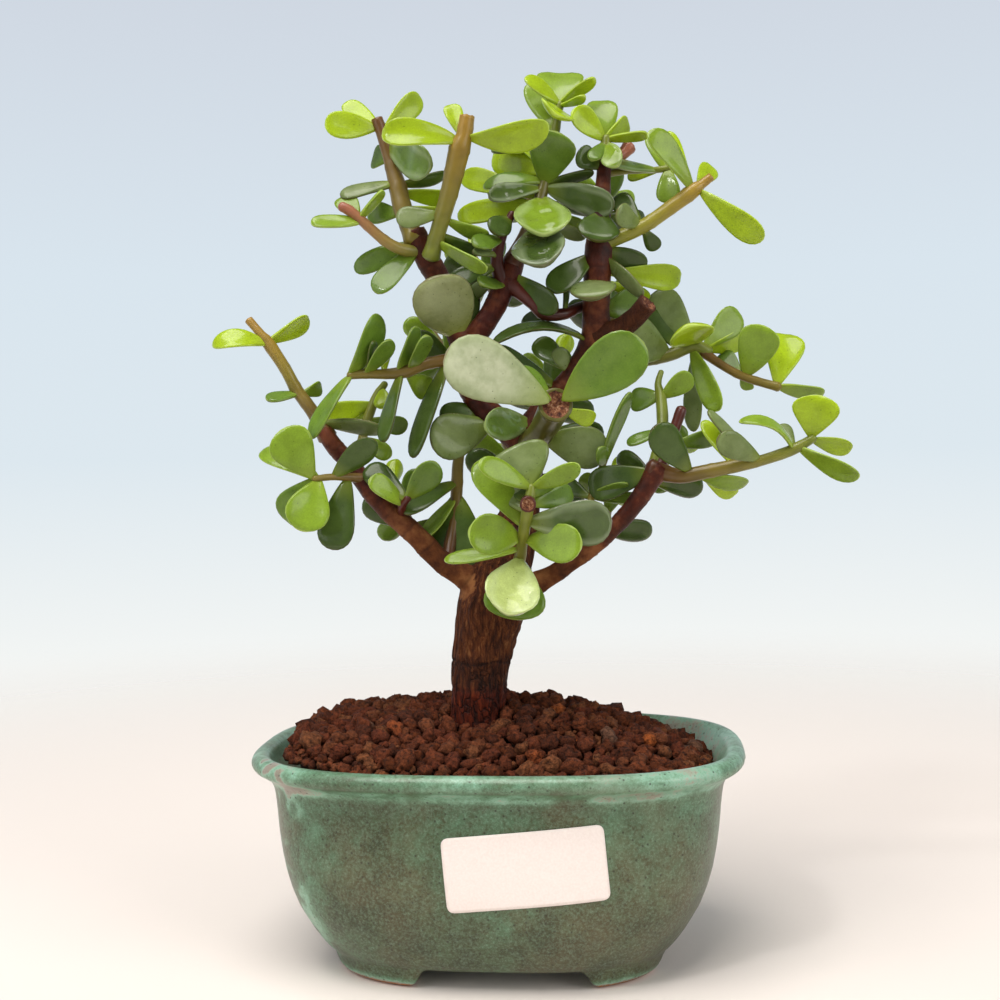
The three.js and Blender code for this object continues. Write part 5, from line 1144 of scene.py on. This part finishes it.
def grow_leaf(bm, base, tip, facing, width, arch, age, layers, turn=0):
    """Shapes a unit ball into one thick, slightly cupped blade, in millimetres round the pot."""
    tint_layer, edge_layer, blade_layer = layers
    along = tip - base
    length = along.length
    along = along / length
    facing = (facing - along * facing.dot(along)).normalized()
    side = along.cross(facing)
    colour, edge, edge_strength, bloom, draw_in, cupping = AGES[age[0]]
    draw_in *= 1 - turn / 150
    wet = age.endswith("*")
    own = chance.random()
    tint = [c * (1 + 0.2 * (own - 0.5)) for c in linear(colour)[:3]] + [1]
    half = width / 2
    thick = LEAF_THINNEST + LEAF_PLUMPNESS * half
    cup = chance.uniform(0.6, 1.3) * (cupping + 0.06 * wet) * width
    curl = arch + chance.uniform(-0.03, 0.06)
    twist = chance.uniform(-0.12, 0.12)
    round_steps, long_steps = LEAF_STEPS
    made = bmesh.ops.create_uvsphere(bm, u_segments=round_steps, v_segments=long_steps, radius=1)["verts"]
    for v in made:
        t = (1 + v.co.z) / 2
        # The place round the blade: s is towards its side and f towards its face.
        round_off = math.hypot(v.co.x, v.co.y)
        s, f = (v.co.x / round_off, v.co.y / round_off) if round_off > 1e-4 else (0, 0)
        spread = blade_width(t, draw_in)
        wave = 1 + 0.05 * math.sin(5 * t + own * 20)
        lean = side * math.cos(twist * t) + facing * math.sin(twist * t)
        rise = thick * f * min(1, 0.35 + 1.2 * round_off) * min(1, 0.5 + spread)
        fold = s * s + 0.8 * (1 - t) ** 2 * (abs(s) - s * s)
        rise += cup * (fold * spread - 0.5) + curl * length * 4 * t * (1 - t)
        rise += 0.03 * half * math.sin(7 * t + own * 9) * (1 if s > 0 else -1) * abs(s)
        place = base + along * (length * t - 1.1 * (1 - t) ** 3)
        place += lean * half * spread * s * wave + facing * rise
        v.co = POT_PLACE + place * MM
        v[tint_layer] = tint
        v[edge_layer] = linear(edge, edge_strength)
        v[blade_layer] = (t, max(abs(s), step_up(t, 0.955, 0.985)), bloom, 1)
    faces = list({f for v in made for f in v.link_faces})
    for face in faces:
        face.material_index = WET_SLOT if wet else LEAF_SLOT
    # The blade's side, face and length make a left hand, which turned the ball inside out.
    bmesh.ops.reverse_faces(bm, faces=faces)


def on_stem(stem, across, up):
    """The place on a stem nearest to a leaf's base."""
    best = None
    for a, b in zip(stem, stem[1:]):
        run = (b[0] - a[0], b[1] - a[1])
        t = ((across - a[0]) * run[0] + (up - a[1]) * run[1]) / (run[0] ** 2 + run[1] ** 2)
        t = min(max(t, 0), 1)
        spot = [p + (q - p) * t for p, q in zip(a, b)]
        away = math.hypot(spot[0] - across, spot[1] - up)
        if best is None or away < best[0]:
            best = (away, spot)
    return best[1]


# How far a stem's foot is sunk into what carries it, as a share of its radius, and how it tapers
# there; the leaf scars' spacing and swelling; and the rings that close a bud.
STEM_SINK, STEM_SIDES = 0.9, 12
FOOT_RINGS = [(0.5, 0.4), (0.2, 0.85), (0, 1)]
SCAR_GAP, SCAR_SWELLING, FOOT_SWELLING = 5.5, 0.07, 0.25
BUD_RINGS = [(0.85, 0.4), (0.5, 0.3), (0.1, 0.1)]


def grow_stem(bm, path, skins, tint_layer, cut):
    """A round stem with a swollen foot and leaf scars, closed with a bud or a cut face."""
    colours = [Vector(linear(STEM_COLOURS[skin])) for skin in skins]
    start, foot_radius = path[0]
    back = (start - path[1][0]).normalized() * foot_radius
    path = [(start + back * (STEM_SINK + sink), share * foot_radius) for sink, share in FOOT_RINGS] + path
    walked = 0
    swollen = []
    for i, (spot, radius) in enumerate(path):
        walked += (spot - path[max(i - 1, 0)][0]).length
        scar = SCAR_SWELLING * max(0, math.cos(walked * math.tau / SCAR_GAP)) ** 8
        swollen.append((spot, radius * (1 + FOOT_SWELLING * math.exp(-(walked / 3) ** 2) + scar)))
    made, edges = loft(bm, STEM_SIDES, limb_rings(swollen), capped=False)
    count = len(made) // STEM_SIDES
    for number, v in enumerate(made):
        share = (number // STEM_SIDES) / max(count - 1, 1) * (len(colours) - 1)
        step = min(int(share), len(colours) - 2)
        v[tint_layer] = colours[step].lerp(colours[step + 1], share - step)
    end, end_radius = path[-1]
    along = (end - path[-2][0]).normalized()
    if cut:
        cut_end(bm, edges, along, end_radius, CUT_SLOT)
    else:
        for scale, rise in BUD_RINGS:
            made, edges = extrude_ring(bm, edges)
            centre = sum((v.co for v in made), Vector()) / len(made)
            for v in made:
                v.co = centre + (v.co - centre) * scale + along * rise * end_radius * MM
                v[tint_layer] = colours[-1]
        bmesh.ops.edgeloop_fill(bm, edges=edges)
    close_foot(bm)
    bmesh.ops.recalc_face_normals(bm, faces=bm.faces)


def leaf_layers(bm):
    """The layers that a leaf or a stem writes its colours to."""
    return [bm.verts.layers.float_color.new(name) for name in ("tint", "edge", "blade")]


LEAF_SET = 0.6
SHOOT_SKINS = [stem_skin, jade_leaf, cut_wood, wet_leaf]
for name, limb in SHOOTS.items():
    bm = bmesh.new()
    layers = leaf_layers(bm)
    stem = limb.get("stem")
    if stem:
        grow_stem(bm, sighted_path(stem, 1.0), limb["skin"], layers[0], limb.get("cut", False))
    for across, up, tip_across, tip_up, tip_near, width, turn, age, *arch in limb["leaves"]:
        root = on_stem(stem or WOOD.get(name) or STUBS[name], across, up)
        base = seen(*root[:3])
        near = root[2] + tip_near
        tip = seen(tip_across, tip_up, near)
        base += (tip - base).normalized() * root[3] * LEAF_SET
        facing = leaf_frame(base, tip, turn)
        grow_leaf(bm, base, tip, facing, width * shrink(near), *(arch or [0]), age, layers, turn)
    if stem:
        finish_piece(bm, name + "_shoot", SHOOT_SKINS, [name], sided=True)
    else:
        finish_piece(bm, name + "_leaves", SHOOT_SKINS, sided=True)

# More shoots grow out behind, where the front view hides them: each runs straight out from its
# parent and carries opposite pairs of leaves, every pair a right angle from the last. Each has its
# start and end by sight, its radius, its pairs of leaves and their length.
BACK_SHOOTS = {
    "back_low_left": [[-20, -10, 2], [-27, 5, -32], 1.5, 4, 14],
    "back_low_right": [[24, -11, 7], [29, 6, -28], 1.5, 4, 14],
    "back_centre_low": [[5, 1, -6], [1, 15, -40], 1.6, 4, 15],
    "back_centre": [[8, 19, -5], [15, 36, -38], 1.5, 4, 15],
    "back_left": [[-8, 31, -2], [-18, 44, -30], 1.4, 4, 14],
    "back_left_high": [[0, 51, -2], [-7, 62, -34], 1.4, 4, 14],
    "back_right": [[23, 40, -2], [33, 52, -36], 1.4, 4, 14],
    "back_high": [[25, 69, 0], [26, 80, -28], 1.3, 4, 13],
    "back_top": [[8, 70, -2], [6, 84, -28], 1.3, 4, 13],
    "back_right_low": [[36, 2, 9], [44, 14, -22], 1.4, 3, 13],
}
BACK_LEAF_RATIO, BACK_FIRST_NODE, BACK_LAST_NODE, BACK_SPREAD = 0.55, 0.3, 0.92, 62
BACK_STEPS, BACK_TAPER, BACK_LEAF_TAPER, BACK_RISE, BACK_AGES = 20, 0.4, 0.12, 1.3, "dmly"
for name, (start, end, radius, pairs, leaf_length) in BACK_SHOOTS.items():
    start, end = seen(*start), seen(*end)
    run = end - start

    def along_shoot(share):
        """A place on the shoot, which turns up towards its end."""
        return Vector((*(start + run * share).xy, start.z + run.z * share ** BACK_RISE))

    bm = bmesh.new()
    layers = leaf_layers(bm)
    shares = [step / BACK_STEPS for step in range(BACK_STEPS + 1)]
    path = [(along_shoot(share), radius * (1 - BACK_TAPER * share)) for share in shares]
    grow_stem(bm, path, ["maroon", "olive"], layers[0], False)
    along = run.normalized()
    side = along.cross(Vector((0, 0, 1))).normalized()
    for pair in range(pairs):
        share = BACK_FIRST_NODE + (BACK_LAST_NODE - BACK_FIRST_NODE) * pair / (pairs - 1)
        base = along_shoot(share)
        spread = math.radians(BACK_SPREAD / 2 if pair == pairs - 1 else BACK_SPREAD)
        length = leaf_length * (1 - BACK_LEAF_TAPER * pair)
        for half in (0, math.pi):
            out = side.copy()
            out.rotate(Quaternion(along, half + pair * math.pi / 2 + 0.4))
            reach = along * math.cos(spread) + out * math.sin(spread)
            facing = along * math.sin(spread) - out * math.cos(spread)
            tip, width = base + reach * length, length * BACK_LEAF_RATIO
            grow_leaf(bm, base, tip, facing, width, 0, BACK_AGES[pair], layers)
    finish_piece(bm, name + "_shoot", SHOOT_SKINS[:3], [name], sided=True)

# The stage: a plain pale floor, a pale sky, and soft studio lamps above the eye.
floor_paint, shader, place = new_material("matt pale floor")
away = add_node(floor_paint, "VectorMath", {0: place}, operation="LENGTH")
fade = add_node(floor_paint, "MapRange", {"Value": away, 1: 0.16, 2: 0.65}, interpolation_type="SMOOTHSTEP")
nothing = add_node(floor_paint, "BsdfTransparent")
faded = add_node(floor_paint, "MixShader", {0: fade, 1: shader, 2: nothing})
feed(floor_paint.node_tree.nodes["Material Output"], {"Surface": faded})
feed(shader, {"Base Color": linear("#eee5de"), "Roughness": 0.9})
bm = bmesh.new()
bmesh.ops.create_grid(bm, x_segments=2, y_segments=2, size=2)
new_object("floor", bm, [floor_paint])

world = bpy.data.worlds.new("pale sky")
world.use_nodes = True
bpy.context.scene.world = world
direction = add_node(world, "TexCoord")
heights = add_node(world, "SeparateXYZ", {0: direction.outputs["Generated"]})
above = add_node(world, "MapRange", {"Value": heights.outputs["Z"], 1: -0.35, 2: 0.35})
sky_tone = add_node(world, "ValToRGB", {"Fac": above}, stops=[
    (0.0, "#fdf7f1"), (0.3, "#f4f6f4"), (0.5, "#dde8ef"), (0.68, "#d9e5ee"), (1.0, "#cdd4df")])
# The sky is dimmer behind the eye and overhead, where a room would be.
room = add_node(world, "MapRange", {"Value": heights.outputs["Y"], 1: -0.5, 2: 0.3, 3: 0.36, 4: 1.0})
dome = add_node(world, "MapRange", {"Value": heights.outputs["Z"], 1: 0.35, 2: 0.65, 3: 1.0, 4: 0.25})
strength = add_node(world, "Math", {0: room, 1: dome}, operation="MULTIPLY")
feed(world.node_tree.nodes["Background"], {"Color": sky_tone, "Strength": strength})


def lamp(name, spot, aim, size, power, colour):
    """A square softbox at a spot, turned towards what it lights."""
    light = bpy.data.lights.new(name, "AREA")
    light.shape, light.size, light.energy = "SQUARE", size, power
    light.color = linear(colour)[:3]
    holder = bpy.data.objects.new(name, light)
    turn = (Vector(aim) - Vector(spot)).to_track_quat("-Z", "Y").to_matrix().to_4x4()
    holder.matrix_world = Matrix.Translation(spot) @ turn
    bpy.context.collection.objects.link(holder)


lamp("overhead softbox", (-0.2, -0.4, 1.5), (0, 0, 0.1), 1.0, 22, "#fffaf4")
lamp("left softbox", (-1.3, -1.2, 0.7), (0, 0, 0.1), 1.3, 8, "#fffdf8")
lamp("right softbox", (1.4, -0.9, 0.8), (0, 0, 0.1), 1.1, 13.5, "#fffdf8")
lamp("window", (-0.5, -0.8, 1.1), (0, 0, 0.12), 0.14, 3, "#ffffff")

bpy.context.scene.view_settings.view_transform = "Standard"
camera_data = bpy.data.cameras.new("eye")
camera_data.sensor_width, camera_data.lens = 36, 50.4
camera_data.clip_start, camera_data.clip_end = 0.01, 50
camera = bpy.data.objects.new("eye", camera_data)
axes = Matrix((across_eye, up_eye, -forward)).transposed().to_4x4()
camera.matrix_world = Matrix.Translation(POT_PLACE + EYE * MM) @ axes
bpy.context.collection.objects.link(camera)
bpy.context.scene.camera = camera
